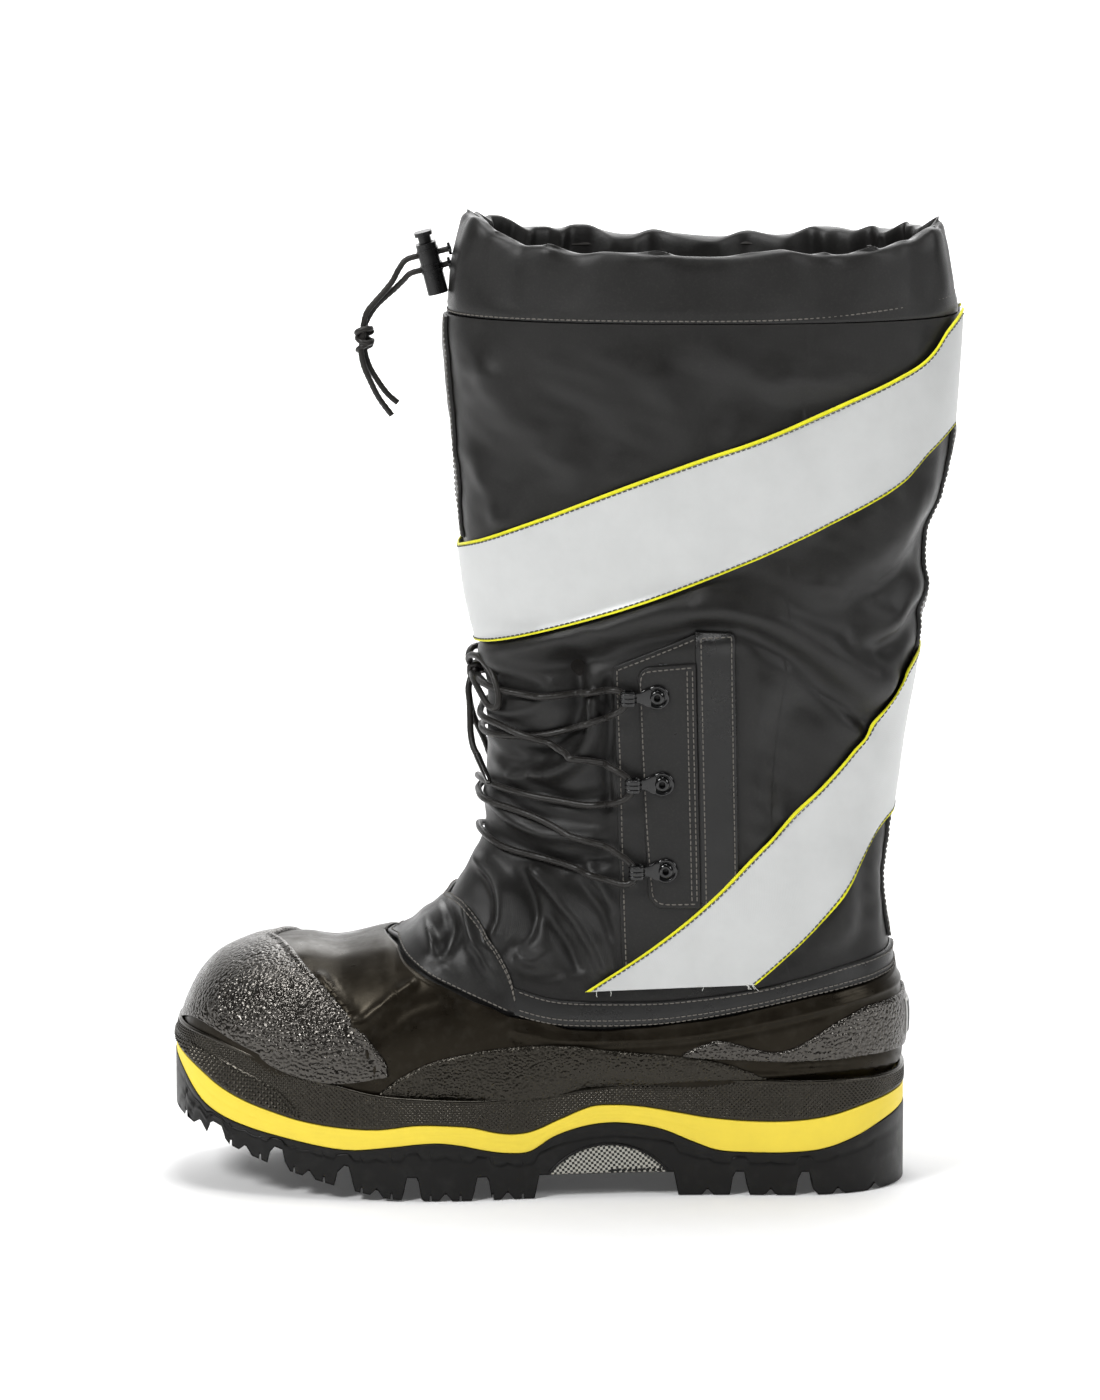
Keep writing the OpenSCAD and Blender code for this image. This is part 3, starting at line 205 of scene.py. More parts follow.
def sole_line(x):
    return curve(MIDSOLE_TOP, x) + SOLE_GAP


def outer_ray(deg):
    """From the ankle hinge to the outside of sole and heel, at an angle from straight down."""
    low, high = np.radians(np.clip(deg, 0, 80)), np.radians(np.clip(deg, 35, 100))
    r, q = 120 / np.cos(low), 212 / np.sin(high)
    for _ in range(6):
        r = (HINGE_Z - sole_line(HINGE_X + r * np.sin(low))) / np.cos(low)
        q = (curve(BACK, HINGE_Z - q * np.cos(high)) - HINGE_X) / np.sin(high)
    m = np.minimum(r, q)
    both = m * ((r / m) ** -30.0 + (q / m) ** -30.0) ** (-1 / 30)
    return np.where(deg < 35, r, np.where(deg > 80, q, both))


def ring(t, d):
    """Front, back and half width of section t: toe 0 to 1, ankle 1 to 2, shaft from 2 up."""
    tt = np.clip(t, 0, 1)
    f = np.sin(np.pi / 2 * tt) ** (2 / TOE_P)
    c = np.clip(np.cos(np.pi / 2 * tt), 0, 1) ** (2 / TOE_P)
    x = HINGE_X - (TOE_L + d) * c
    nose = np.sqrt(np.minimum(1, tt / NOSE_T))
    toe = (x, curve(TOE_TOP, tt) + d * f, x,
        mix(NOSE_Z, sole_line(HINGE_X - TOE_L * c), nose) - d * f, (TOE_W + d) * f)
    tf = np.clip(t, 1, 2)
    g = 90 * (tf - 1)
    sx, sz = np.sin(np.radians(g)), -np.cos(np.radians(g))
    ri, ro = curve(INSTEP, g) - d, outer_ray(g) + d
    fan = (HINGE_X + sx * ri, HINGE_Z + sz * ri, HINGE_X + sx * ro, HINGE_Z + sz * ro,
        curve(WIDTH, tf) + d)
    z = HINGE_Z + (np.maximum(t, 2) - 2) * (TOP_Z - HINGE_Z)
    up = (curve(FRONT, z) - d, z, curve(BACK, z) + d, z, curve(WIDTH, t) + d)
    return [np.where(t < 1, a, np.where(t < 2, b, c2)) for a, b, c2 in zip(toe, fan, up)]


def form(t, a, d=0.0):
    """Points of the boot's form at section t and angle a, moved out by d mm."""
    t, a, d = (np.array(v, float) for v in np.broadcast_arrays(t, a, d))
    ax, az, bx, bz, w = ring(t, d)
    e = curve(WIDEST, t)
    mx, mz = mix(bx, ax, e), mix(bz, az, e)
    ca, sa = np.cos(np.radians(a)), np.sin(np.radians(a))
    n = np.where(ca >= 0, curve(SQUARE_TOP, t), curve(SQUARE_SOLE, t))
    k = np.abs(ca) ** (2 / n)
    ux = (np.where(ca >= 0, ax, bx) - mx) * k
    uz = (np.where(ca >= 0, az, bz) - mz) * k
    y = curve(SWING, t) - w * np.sign(sa) * np.abs(sa) ** (2 / n)
    return np.stack([mx + ux, y, mz + uz], -1)


def level_t(z):
    return 2 + (np.asarray(z, float) - HINGE_Z) / (TOP_Z - HINGE_Z)


def locate(x, z):
    """The section and angle of the form that lie at x and z on the outer side."""
    x, z = np.asarray(x, float), np.asarray(z, float)
    toe = np.degrees(np.arccos(np.clip((HINGE_X - x) / TOE_L, 0, 1) ** (TOE_P / 2))) / 90
    fan = 1 + np.degrees(np.arctan2(x - HINGE_X, np.maximum(HINGE_Z - z, 1e-9))) / 90
    t = np.where(z >= HINGE_Z, level_t(z), np.where(x <= HINGE_X, toe, fan))
    ax, az, bx, bz, _ = ring(t, 0.0 * t)
    lx, lz = bx - ax, bz - az
    u = np.clip(((x - ax) * lx + (z - az) * lz) / (lx * lx + lz * lz), 0, 1)
    e = curve(WIDEST, t)
    front = np.degrees(np.arccos(np.clip((1 - e - u) / (1 - e), 0, 1)
        ** (curve(SQUARE_TOP, t) / 2)))
    rear = 180 - np.degrees(np.arccos(np.clip((u - 1 + e) / e, 0, 1)
        ** (curve(SQUARE_SOLE, t) / 2)))
    return t, np.where(u < 1 - e, front, rear)


def on_side(p, side):
    """Sections and signed angles of places x and z on one side."""
    t, a = locate(p[..., 0], p[..., 1])
    return np.stack([t, side * a], -1)


def located(line):
    return on_side(np.asarray(line, float), LATERAL)


# ---------------------------------------------------------------- folds of the shaft
# Each fold: a line in x and z on the side, its half width, and its height off the form
FOLDS = [
    ([(-30, 232), (-4, 240), (21, 248), (50, 254), (84, 250), (112, 232), (134, 218)], 10, 5.2),
    ([(-4, 228), (20, 233.5), (40, 240), (66, 246), (92, 235), (112, 217), (128, 203)], 4.5, -3.4),
    ([(90, 268), (118, 258), (144, 240)], 7, 1.8),
    ([(112, 206), (126, 192), (134, 178)], 6, 2.0),
    ([(100, 214), (116, 200), (126, 184)], 4.5, -1.6),
    ([(12, 216), (13.5, 201), (6, 188), (-7, 181), (-24, 179)], 3.4, 4.2),
    ([(2, 230), (5, 214), (1, 201), (-7, 194), (-20, 192)], 4.4, -4.4),
    ([(18, 224), (19, 203), (17, 184), (18, 168)], 2.6, -2.6),
    ([(-30, 226), (-16, 224), (-4, 220)], 4.0, 1.8),
    ([(-30, 205), (-14, 209), (-6, 216)], 4.0, 2.2),
    ([(-34, 188), (-20, 186), (-8, 188)], 3.0, -1.6),
    ([(-24, 184), (-10, 175), (2, 171), (16, 174)], 3.8, -2.6),
    ([(-33, 168), (-24, 161), (-9, 156), (16, 155)], 3.8, 3.4),
    ([(-30, 152), (-12, 146), (6, 143), (20, 148)], 4.0, -2.8),
    ([(-36, 141), (-26, 131), (-25, 118), (-31, 109)], 3.6, 3.8),
    ([(-19, 138), (-14, 122), (-17, 110)], 3.2, -3.6),
    ([(-12, 140), (2, 124), (12, 109), (18, 95)], 3.8, 3.6),
    ([(-8, 120), (0, 108), (5, 98)], 3.0, -3.4),
    ([(4, 136), (12, 126), (19, 112)], 3.0, -2.2),
    ([(8, 144), (16, 134), (21, 124)], 2.6, 1.6),
    ([(-8, 104), (-14, 101), (-20, 104)], 3.0, 2.2),
    ([(-2, 96), (-12, 95), (-20, 97)], 2.6, -1.4),
    ([(-50, 122), (-47, 113), (-51, 104), (-56, 99)], 3.0, -3.0),
    ([(-60, 112), (-54, 101), (-46, 93)], 3.4, 2.0),
    ([(-42, 121), (-38, 108), (-32, 98)], 3.0, 2.2),
    ([(-38, 104), (-34, 94), (-27, 86)], 2.8, -1.8),
    ([(84, 226), (80, 190), (86, 150)], 9, 1.8),
    ([(98, 214), (95, 182), (104, 150)], 8, -1.6),
    ([(112, 150), (118, 128), (116, 108)], 8, 1.6),
    ([(134, 160), (128, 140), (130, 118)], 5, -1.2),
    ([(-36, 362), (-24, 338), (4, 312)], 8, 1.8),
    ([(-20, 366), (-6, 344), (26, 322)], 8, -1.6),
    ([(20, 364), (44, 346), (52, 326)], 8, 1.3),
    ([(60, 368), (84, 352), (124, 352)], 9, 1.6),
    ([(80, 342), (100, 340), (122, 344)], 7, -1.2),
    ([(150, 300), (130, 276), (100, 262)], 8, 2.2),
    ([(158, 288), (140, 264), (120, 254)], 5, -2.2),
    ([(152, 262), (138, 246), (124, 240)], 5, 2.4),
    ([(152, 250), (142, 238), (132, 232)], 3.5, -1.8),
    ([(-38, 262), (-24, 252), (-4, 250)], 6, -1.4),
    ([(-42, 318), (-32, 302), (-28, 288)], 5, 1.4)]
WAVES = [(RNG.normal(size=3), RNG.uniform(0, 6.28)) for _ in range(14)]


def ridge(x, z, pts, w):
    """A soft ridge of height 1 and half width w along a line, with tapering ends."""
    p = along(pts, np.linspace(0, 1, 12 * len(pts)))
    s = run(p)
    n = max(3, int(np.ceil(s[-1] / (w * 0.55))) + 1)
    p = at_lengths(np.linspace(0, s[-1], n), s, p)
    m = 3.0 * w
    near = ((x > p[:, 0].min() - m) & (x < p[:, 0].max() + m)
        & (z > p[:, 1].min() - m) & (z < p[:, 1].max() + m))
    out = np.zeros(x.shape)
    if near.any():
        xn, zn = x[near], z[near]
        total = np.zeros(xn.shape)
        for px, pz in p:
            total += np.exp(-((xn - px) ** 2 + (zn - pz) ** 2) / (w * w))
        out[near] = total * (s[-1] / (n - 1)) / (w * 1.7725)
    return out


def waves(p, length, height, first, count):
    total = 0.0
    for way, phase in WAVES[first:first + count]:
        total = total + np.sin(p @ (unit(way) * 2 * np.pi / length) + phase)
    return total * height / count


def fold(t, a):
    """How far the shaft's fabric stands off the form, in mm."""
    p = form(t, a)
    x, y, z = p[..., 0], p[..., 1], p[..., 2]
    outer, inner = np.zeros(x.shape), np.zeros(x.shape)
    near, far = y < 20, y > -20
    for pts, w, h in FOLDS:
        q = np.asarray(pts, float)
        outer[near] += h * ridge(x[near], z[near], q, w)
        inner[far] += 0.8 * h * ridge(x[far], z[far], q + [4, -5], w * 1.1)
    both = mix(inner, outer, smooth(18, -18, y))
    both = both * (1 + 0.35 * smooth(-1, 3, both))
    soft = waves(p, 52, 2.3, 0, 5) + waves(p, 21, 1.0, 5, 5) + waves(p, 9, 0.22, 9, 5)
    edge = np.where(x > -22, curve(BINDING_EDGE, x), curve(VAMP_EDGE, x) + 2)
    low = smooth(0, 13, z - edge)
    high = 1 - smooth(350, 374, z)
    stiff = 1 - 0.85 * smooth(16, 26, x) * smooth(82, 74, x) * smooth(243, 234, z)
    taped = np.zeros(x.shape)
    for top, bottom in ((UPPER_BAND_TOP, UPPER_BAND_BOTTOM), (LOWER_BAND_TOP, LOWER_BAND_BOTTOM)):
        over, under = sorted(top), sorted(bottom)
        hi, lo = curve(over, x), curve(under, x)
        if top is LOWER_BAND_TOP:
            lo = np.where(x < under[0][0], 60, lo)
            hi = np.where(x > over[-1][0], 240, hi)
        taped = np.maximum(taped, smooth(-7, 3, hi - z) * smooth(-7, 3, z - lo))
    return (both + soft) * low * high * stiff * (1 - 0.72 * taped)


def cloth(t, a, d=0.0):
    t, a, d = np.broadcast_arrays(t, a, d)
    return form(t, a, d + fold(t, a))


def side_points(x, z, side, d=0.0, on=None):
    t, a = locate(x, z)
    return (on or form)(t, side * a, d)


# ---------------------------------------------------------------- materials
def add_node(tree, kind, values=(), links=(), **settings):
    """A shader node; values and links go to its inputs by name or number."""
    n = tree.nodes.new("ShaderNode" + kind)
    for key, value in settings.items():
        setattr(n, key, value)
    for key, value in dict(values).items():
        n.inputs[key].default_value = value
    for key, socket in dict(links).items():
        tree.links.new(socket, n.inputs[key])
    return n


def bump_height(tree, place, kind, size):
    """The height pattern of one bump: grain, weave or noise, of a size in mm."""
    scale = 1 / (size * MM)
    if kind == "grain":
        warp = add_node(tree, "TexNoise", {"Scale": 1 / (size * 1.7 * MM)},
            {"Vector": place["Object"]})
        shift = add_node(tree, "VectorMath", {1: (size * MM * 0.9,) * 3},
            {0: warp.outputs["Color"], 2: place["Object"]}, operation="MULTIPLY_ADD")
        cells = add_node(tree, "TexVoronoi", {"Scale": scale, "Smoothness": 0.35},
            {"Vector": shift.outputs[0]}, feature="SMOOTH_F1")
        return cells.outputs["Distance"]
    if kind == "weave":
        threads = add_node(tree, "SeparateXYZ", links={0: place["UV"]})
        sines = []
        for axis in (0, 1):
            turns = add_node(tree, "Math", {1: 2 * math.pi / size}, {0: threads.outputs[axis]},
                operation="MULTIPLY")
            sines.append(add_node(tree, "Math", links={0: turns.outputs[0]}, operation="SINE"))
        return add_node(tree, "Math", links={0: sines[0].outputs[0], 1: sines[1].outputs[0]},
            operation="MULTIPLY").outputs[0]
    return add_node(tree, "TexNoise", {"Scale": scale, "Detail": 4, "Roughness": 0.6},
        {"Vector": place["Object"]}).outputs[0]


def material(name, base, rough=0.6, metal=0.0, spec=0.5, sheen=0.0, coat=0.0,
             mottle=0.12, mottle_size=20, rough_mottle=0.12, bumps=(), dust=None,
             glint=(1, 1, 1)):
    """base: linear colour. bumps: (kind, size in mm, depth in mm). glint: highlight's tint."""
    m = bpy.data.materials.new(name)
    m.use_nodes = True
    tree = m.node_tree
    tree.nodes.clear()
    place = add_node(tree, "TexCoord").outputs
    noise = add_node(tree, "TexNoise", {"Scale": 1 / (mottle_size * MM), "Detail": 6,
        "Roughness": 0.65}, {"Vector": place["Object"]})

    def spread(low, high):
        return add_node(tree, "MapRange", {"From Min": 0.3, "From Max": 0.7, "To Min": low,
            "To Max": high}, {0: noise.outputs[0]}).outputs[0]

    colour = add_node(tree, "Mix", {0: 1.0, 6: (*base, 1)}, {7: spread(1 - mottle, 1 + mottle)},
        data_type="RGBA", blend_type="MULTIPLY").outputs[2]
    if dust:
        strength, pale, size = dust
        specks = add_node(tree, "TexNoise", {"Scale": 1 / (size * MM), "Detail": 8},
            {"Vector": place["Object"]})
        cut = add_node(tree, "MapRange", {"From Min": 0.5, "From Max": 0.8,
            "To Max": strength}, {0: specks.outputs[0]})
        colour = add_node(tree, "Mix", {7: (*pale, 1)}, {0: cut.outputs[0], 6: colour},
            data_type="RGBA").outputs[2]
    links = {"Base Color": colour,
        "Roughness": spread(max(0.05, rough - rough_mottle), min(1, rough + rough_mottle))}
    for kind, size, depth in bumps:
        below = {"Normal": links["Normal"]} if "Normal" in links else {}
        links["Normal"] = add_node(tree, "Bump", {"Strength": 1.0, "Distance": depth * MM},
            {"Height": bump_height(tree, place, kind, size), **below},
            invert=kind == "grain").outputs[0]
    shader = add_node(tree, "BsdfPrincipled", {"Metallic": metal, "Specular IOR Level": spec,
        "Specular Tint": (*glint, 1), "Sheen Weight": sheen, "Sheen Roughness": 0.5,
        "Coat Weight": coat}, links)
    add_node(tree, "OutputMaterial", links={0: shader.outputs[0]})
    return m


def shader_of(m):
    return next(n for n in m.node_tree.nodes if n.type == "BSDF_PRINCIPLED")


def checker_material(name, a, b, size):
    m = material(name, a, rough=0.6, bumps=(("noise", 0.4, 0.05),))
    tree = m.node_tree
    place = add_node(tree, "TexCoord").outputs
    turn = add_node(tree, "Mapping", {"Rotation": (0, 0.12, 0)}, {0: place["Object"]})
    flat = add_node(tree, "VectorMath", {1: (1, 0, 1)}, {0: turn.outputs[0]},
        operation="MULTIPLY")
    checks = add_node(tree, "TexChecker", {"Scale": 1 / (size * MM), "Color1": (*a, 1),
        "Color2": (*b, 1)}, {"Vector": flat.outputs[0]})
    tree.links.new(checks.outputs["Color"], shader_of(m).inputs["Base Color"])
    return m


M = {
    "shaft": material("coated_nylon", (0.0135, 0.0130, 0.0124), 0.40, spec=0.34,
        mottle=0.16, mottle_size=34, bumps=(("weave", 0.55, 0.018), ("noise", 2.2, 0.05)),
        dust=(0.05, (0.11, 0.10, 0.09), 1.0)),
    "patch": material("coated_nylon_patch", (0.0130, 0.0127, 0.0122), 0.38, spec=0.34,
        mottle=0.14, mottle_size=26, bumps=(("weave", 0.55, 0.014), ("noise", 1.6, 0.05)),
        dust=(0.08, (0.11, 0.10, 0.09), 1.0)),
    "webbing": material("padded_strip", (0.0130, 0.0129, 0.0126), 0.32, spec=0.45,
        mottle=0.14, mottle_size=22, bumps=(("weave", 0.5, 0.02), ("noise", 1.2, 0.05))),
    "collar": material("collar_nylon", (0.0135, 0.0131, 0.0126), 0.40, spec=0.36,
        mottle=0.15, mottle_size=30, bumps=(("weave", 0.5, 0.016), ("noise", 1.8, 0.06)),
        dust=(0.08, (0.11, 0.10, 0.09), 1.0)),
    "shell": material("moulded_rubber", (0.0080, 0.0063, 0.0042), 0.36, spec=0.21, glint=(1, 0.88, 0.68),
        mottle=0.2, mottle_size=16, rough_mottle=0.14, bumps=(("noise", 0.8, 0.03),),
        dust=(0.14, (0.075, 0.07, 0.06), 5)),
    "pebble": material("pebbled_rubber", (0.0060, 0.0052, 0.0042), 0.23, spec=1.0, glint=(1, 0.94, 0.86),
        mottle=0.15, mottle_size=14, bumps=(("grain", 1.5, 0.6), ("noise", 0.5, 0.04))),
    "grain": material("grained_rubber", (0.0060, 0.0052, 0.0038), 0.27, spec=0.5, glint=(1, 0.92, 0.78),
        mottle=0.15, mottle_size=14, bumps=(("grain", 1.25, 0.5), ("noise", 0.4, 0.04))),
    "knurl": material("knurled_rubber", (0.0056, 0.0049, 0.0037), 0.25, spec=0.5, glint=(1, 0.92, 0.78),
        mottle=0.18, mottle_size=12, bumps=(("noise", 0.5, 0.02),)),
    "rand": material("rand_rubber", (0.0050, 0.0045, 0.0037), 0.30, spec=0.32,
        mottle=0.18, mottle_size=12, bumps=(("noise", 0.5, 0.02),)),
    "outsole": material("outsole_rubber", (0.0055, 0.0052, 0.0050), 0.42, spec=0.24,
        mottle=0.2, mottle_size=18, rough_mottle=0.12, bumps=(("noise", 0.7, 0.03),),
        dust=(0.12, (0.06, 0.06, 0.055), 6)),
    "midsole": material("yellow_midsole", (0.95, 0.74, 0.07), 0.5, spec=0.35,
        mottle=0.03, mottle_size=9, rough_mottle=0.06, bumps=(("noise", 0.5, 0.03),)),
    "tape": material("reflective_tape", (0.62, 0.63, 0.625), 0.42, metal=0.15, spec=0.4,
        mottle=0.04, mottle_size=20, rough_mottle=0.08,
        bumps=(("weave", 0.9, 0.012), ("noise", 3.0, 0.03))),
    "edging": material("bright_edging", (0.83, 0.80, 0.015), 0.55, spec=0.3, sheen=0.2,
        mottle=0.1, mottle_size=3, bumps=(("noise", 0.5, 0.08),)),
    "thread": material("thread", (0.15, 0.14, 0.125), 0.65, spec=0.3, mottle=0.2,
        mottle_size=2, bumps=(("noise", 0.25, 0.04),)),
    "thread_grey": material("tape_thread", (0.07, 0.072, 0.075), 0.6, spec=0.3, mottle=0.2,
        mottle_size=2),
    "fray": material("frayed_yarn", (0.75, 0.76, 0.72), 0.7, spec=0.2, mottle=0.1,
        mottle_size=2),
    "lace": material("braided_lace", (0.0095, 0.0080, 0.0062), 0.42, spec=0.45, sheen=0.08,
        mottle=0.2, mottle_size=3, bumps=(("noise", 0.3, 0.05),)),
    "tip": material("lace_tip", (0.014, 0.013, 0.012), 0.2, spec=0.6, coat=0.6,
        mottle=0.1, mottle_size=4, rough_mottle=0.05),
    "hardware": material("black_enamel", (0.0030, 0.0030, 0.0032), 0.20, spec=0.5, coat=0.25,
        mottle=0.15, mottle_size=3, rough_mottle=0.08, bumps=(("noise", 0.8, 0.01),)),
    "plastic": material("lock_plastic", (0.005, 0.005, 0.0053), 0.30, spec=0.5,
        mottle=0.15, mottle_size=4, rough_mottle=0.08, bumps=(("noise", 0.5, 0.015),)),
    "steel": material("sprung_steel", (0.55, 0.56, 0.58), 0.3, metal=1.0, mottle=0.08,
        mottle_size=3),
    "board": material("fibre_board", (0.28, 0.19, 0.10), 0.8, mottle=0.15, mottle_size=4,
        bumps=(("noise", 0.6, 0.1),)),
    "felt": material("felt", (0.016, 0.0145, 0.013), 0.95, spec=0.1, sheen=0.15, mottle=0.35,
        mottle_size=3, bumps=(("noise", 0.7, 0.35), ("noise", 4, 0.5))),
    "cuff": material("cuff_binding", (0.02, 0.019, 0.018), 0.7, spec=0.3, sheen=0.3,
        mottle=0.2, mottle_size=3, bumps=(("weave", 0.8, 0.04),)),
    "foam": material("footbed_cloth", (0.05, 0.05, 0.052), 0.9, sheen=0.3, mottle=0.2,
        mottle_size=3, bumps=(("weave", 0.8, 0.06),)),
    "label": material("label_black", (0.008, 0.008, 0.008), 0.4, mottle=0.1, mottle_size=5),
    "label_edge": material("label_edge", (0.62, 0.62, 0.6), 0.5, mottle=0.06, mottle_size=3),
    "arch": checker_material("arch_mesh", (0.46, 0.45, 0.40), (0.012, 0.012, 0.011), 1.15),
}


# ---------------------------------------------------------------- meshes
def add_mesh(name, verts, faces, mat, slot, nodes=(), body="boot", uv=None, smooth_by=50):
    """verts in mm. faces: arrays of quads and of triangles."""
    verts = np.asarray(verts, float)
    quads = np.asarray(faces[0], int).reshape(-1, 4)
    tris = np.asarray(faces[1], int).reshape(-1, 3) if len(faces) > 1 else np.zeros((0, 3), int)
    me = bpy.data.meshes.new(name)
    me.vertices.add(len(verts))
    me.vertices.foreach_set("co", (verts * MM).astype(np.float32).ravel())
    loops = np.concatenate([quads.ravel(), tris.ravel()]).astype(np.int32)
    starts = np.concatenate([np.arange(len(quads)) * 4,
        len(quads) * 4 + np.arange(len(tris)) * 3]).astype(np.int32)
    me.loops.add(len(loops))
    me.loops.foreach_set("vertex_index", loops)
    me.polygons.add(len(starts))
    me.polygons.foreach_set("loop_start", starts)
    if uv is not None:
        layer = me.uv_layers.new(name="mm")
        layer.data.foreach_set("uv", np.asarray(uv, np.float32)[loops].ravel())
    me.update(calc_edges=True)
    me.validate()
    me.polygons.foreach_set("use_smooth", np.ones(len(me.polygons), bool))
    me.set_sharp_from_angle(angle=math.radians(smooth_by))
    me.materials.append(mat)
    ob = bpy.data.objects.new(name, me)
    bpy.context.scene.collection.objects.link(ob)
    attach(ob, body)
    if nodes:
        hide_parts(*nodes)
    return ob


def grid_quads(idx):
    return np.stack([idx[:-1, :-1], idx[1:, :-1], idx[1:, 1:], idx[:-1, 1:]], -1).reshape(-1, 4)


def tidy_faces(quads):
    """Quads that have lost a corner become triangles."""
    quads = np.asarray(quads, int)
    same = np.stack([quads[:, i] == quads[:, (i + 1) % 4] for i in range(4)], -1)
    full = quads[~same.any(1)]
    tris = []
    for q, s in zip(quads[same.any(1)], same[same.any(1)]):
        if s.sum() == 1:
            i = int(np.argmax(s))
            tris.append([q[j] for j in range(4) if j != i])
    return full, np.array(tris, int).reshape(-1, 3)


def outward(verts, quads, tris):
    def vol(f):
        p = verts[f]
        return np.einsum("ij,ij->i", np.cross(p[:, 0], p[:, 1]), p[:, 2]).sum()
    total = vol(quads[:, [0, 1, 2]]) + vol(quads[:, [0, 2, 3]]) + (vol(tris) if len(tris) else 0)
    return (quads, tris) if total > 0 else (quads[:, ::-1], tris[:, ::-1])


def skin(name, outer, inner, mat, slot, nodes=(), wrap=False, pole=False, uv=None, **kw):
    """A closed thick sheet between two grids of points."""
    nu, nv = outer.shape[:2]
    first = np.arange(nu * nv).reshape(nu, nv)
    if wrap:
        first = np.concatenate([first, first[:, :1]], 1)
    if pole:
        first = first.copy()
        first[0, :] = first[0, 0]
    second = first + nu * nv
    quads = [grid_quads(first), grid_quads(second)[:, ::-1]]
    quads.append(grid_quads(np.stack([second[-1], first[-1]], 0))[:, ::-1])
    if not pole:
        quads.append(grid_quads(np.stack([second[0], first[0]], 0)))
    if not wrap:
        quads.append(grid_quads(np.stack([second[:, 0], first[:, 0]], 0))[:, ::-1])
        quads.append(grid_quads(np.stack([second[:, -1], first[:, -1]], 0)))
    verts = np.concatenate([outer.reshape(-1, 3), inner.reshape(-1, 3)])
    q, t = tidy_faces(np.concatenate(quads))
    q, t = outward(verts, q, t)
    if uv is None:
        uv = grid_uv(outer)
    uv = np.concatenate([uv.reshape(-1, 2)] * 2)
    return add_mesh(name, verts, (q, t), mat, slot, nodes, uv=uv, **kw)


def grid_uv(p):
    du = np.linalg.norm(np.diff(p, axis=0), axis=-1).mean(1)
    dv = np.linalg.norm(np.diff(p, axis=1), axis=-1).mean(0)
    u, v = np.concatenate([[0], np.cumsum(du)]), np.concatenate([[0], np.cumsum(dv)])
    return np.stack(np.meshgrid(u, v, indexing="ij"), -1)


def spaced(n, edge=0.0, length=1.0):
    """n places from 0 to 1, with a few more close to both ends when edge is given."""
    s = np.linspace(0, 1, n)
    if edge:
        e = edge / length
        near = e * np.array([0, 0.12, 0.3, 0.55, 0.8])
        s = np.concatenate([near, s[(s > e) & (s < 1 - e)], 1 - near[::-1]])
    return s


def tube_points(path, radius, sides, braid=0.0, pitch=6.0):
    """A grid of points round a path; braid makes the lobes of a braided cord."""
    path = np.asarray(path, float)
    n = len(path)
    head = unit(np.gradient(path, axis=0))
    v = unit(np.cross(head[0], [0.31, 0.95, 0.11]))
    side = np.empty((n, 3))
    for i in range(n):
        v = v - head[i] * (v @ head[i])
        v = v / np.linalg.norm(v)
        side[i] = v
    up = np.cross(head, side)
    ang = np.linspace(0, 2 * np.pi, sides, endpoint=False)
    s = run(path)
    r = np.broadcast_to(np.asarray(radius, float), (n,))[:, None] * np.ones(sides)
    if braid:
        one = np.abs(np.sin(2 * ang[None] + np.pi * s[:, None] / pitch * 2))
        two = np.abs(np.sin(2 * ang[None] - np.pi * s[:, None] / pitch * 2))
        r = r * (1 - braid + braid * np.maximum(one, two) ** 1.5)
    return (path[:, None] + r[..., None] * (side[:, None] * np.cos(ang)[None, :, None]
        + up[:, None] * np.sin(ang)[None, :, None]))


def tube_faces(n, sides, start=0):
    idx = start + np.arange(n * sides).reshape(n, sides)
    idx = np.concatenate([idx, idx[:, :1]], 1)
    return grid_quads(idx)


def join_tubes(tubes):
    """One mesh of capped tubes from their grids of points."""
    verts, quads, tris, base = [], [], [], 0
    for p in tubes:
        n, sides = p.shape[:2]
        ends = np.stack([p[0].mean(0), p[-1].mean(0)])
        verts += [p.reshape(-1, 3), ends]
        quads.append(tube_faces(n, sides, base))
        a, b = base + n * sides, base + n * sides + 1
        for j in range(sides):
            k = (j + 1) % sides
            tris.append([a, base + k, base + j])
            tris.append([b, base + (n - 1) * sides + j, base + (n - 1) * sides + k])
        base += n * sides + 2
    v = np.concatenate(verts)
    q, t = np.concatenate(quads), np.array(tris, int)
    q, t = outward(v, q, t)
    return v, (q, t)


def resample(path, step):
    path = np.asarray(path, float)
    s = run(path)
    return at_lengths(np.linspace(0, s[-1], max(4, int(round(s[-1] / step)) + 1)), s, path)


# ---------------------------------------------------------------- cords
LACE_D, CORD_D = 2.8, 2.5
END_UPPER = [[-48.5, 0, 402], [-58.25, 0, 399.5], [-67, 0, 397.3], [-70.5, 0, 393.5],
    [-73.5, 0, 388], [-77, 0, 383.5], [-81, 0, 379], [-84.5, 0, 374.5], [-86, 0, 369],
    [-86.5, -0.5, 363], [-87, -1.5, 358], [-86, -1.5, 352], [-83.5, -1.5, 346],
    [-79.5, -1.5, 338], [-74, -1.5, 330.5]]
END_LOWER = [[-48.5, 0, 395.8], [-56.75, 0, 393.5], [-65.5, 0, 391.3], [-69, 1.5, 388],
    [-73, 3, 384], [-77, 3.2, 380.5], [-81, 3.2, 376.5], [-84, 3, 372], [-85.5, 2.5, 368],
    [-85, 2.5, 363], [-85.5, 2, 357.5], [-83.5, 1.6, 351], [-80, 1.6, 345],
    [-76, 1.6, 339.5], [-71.5, 1.6, 335.5]]
BOW = [[-40, -1, 222], [-41.5, -5, 226], [-39.5, -11, 228.5], [-35.5, -18, 227.5],
    [-31, -24.5, 222.5], [-28.5, -28.5, 214.5], [-29, -29, 209], [-32.5, -25, 208.5],
    [-36, -19, 213], [-39, -11, 217.5], [-40, -4, 219.5]]
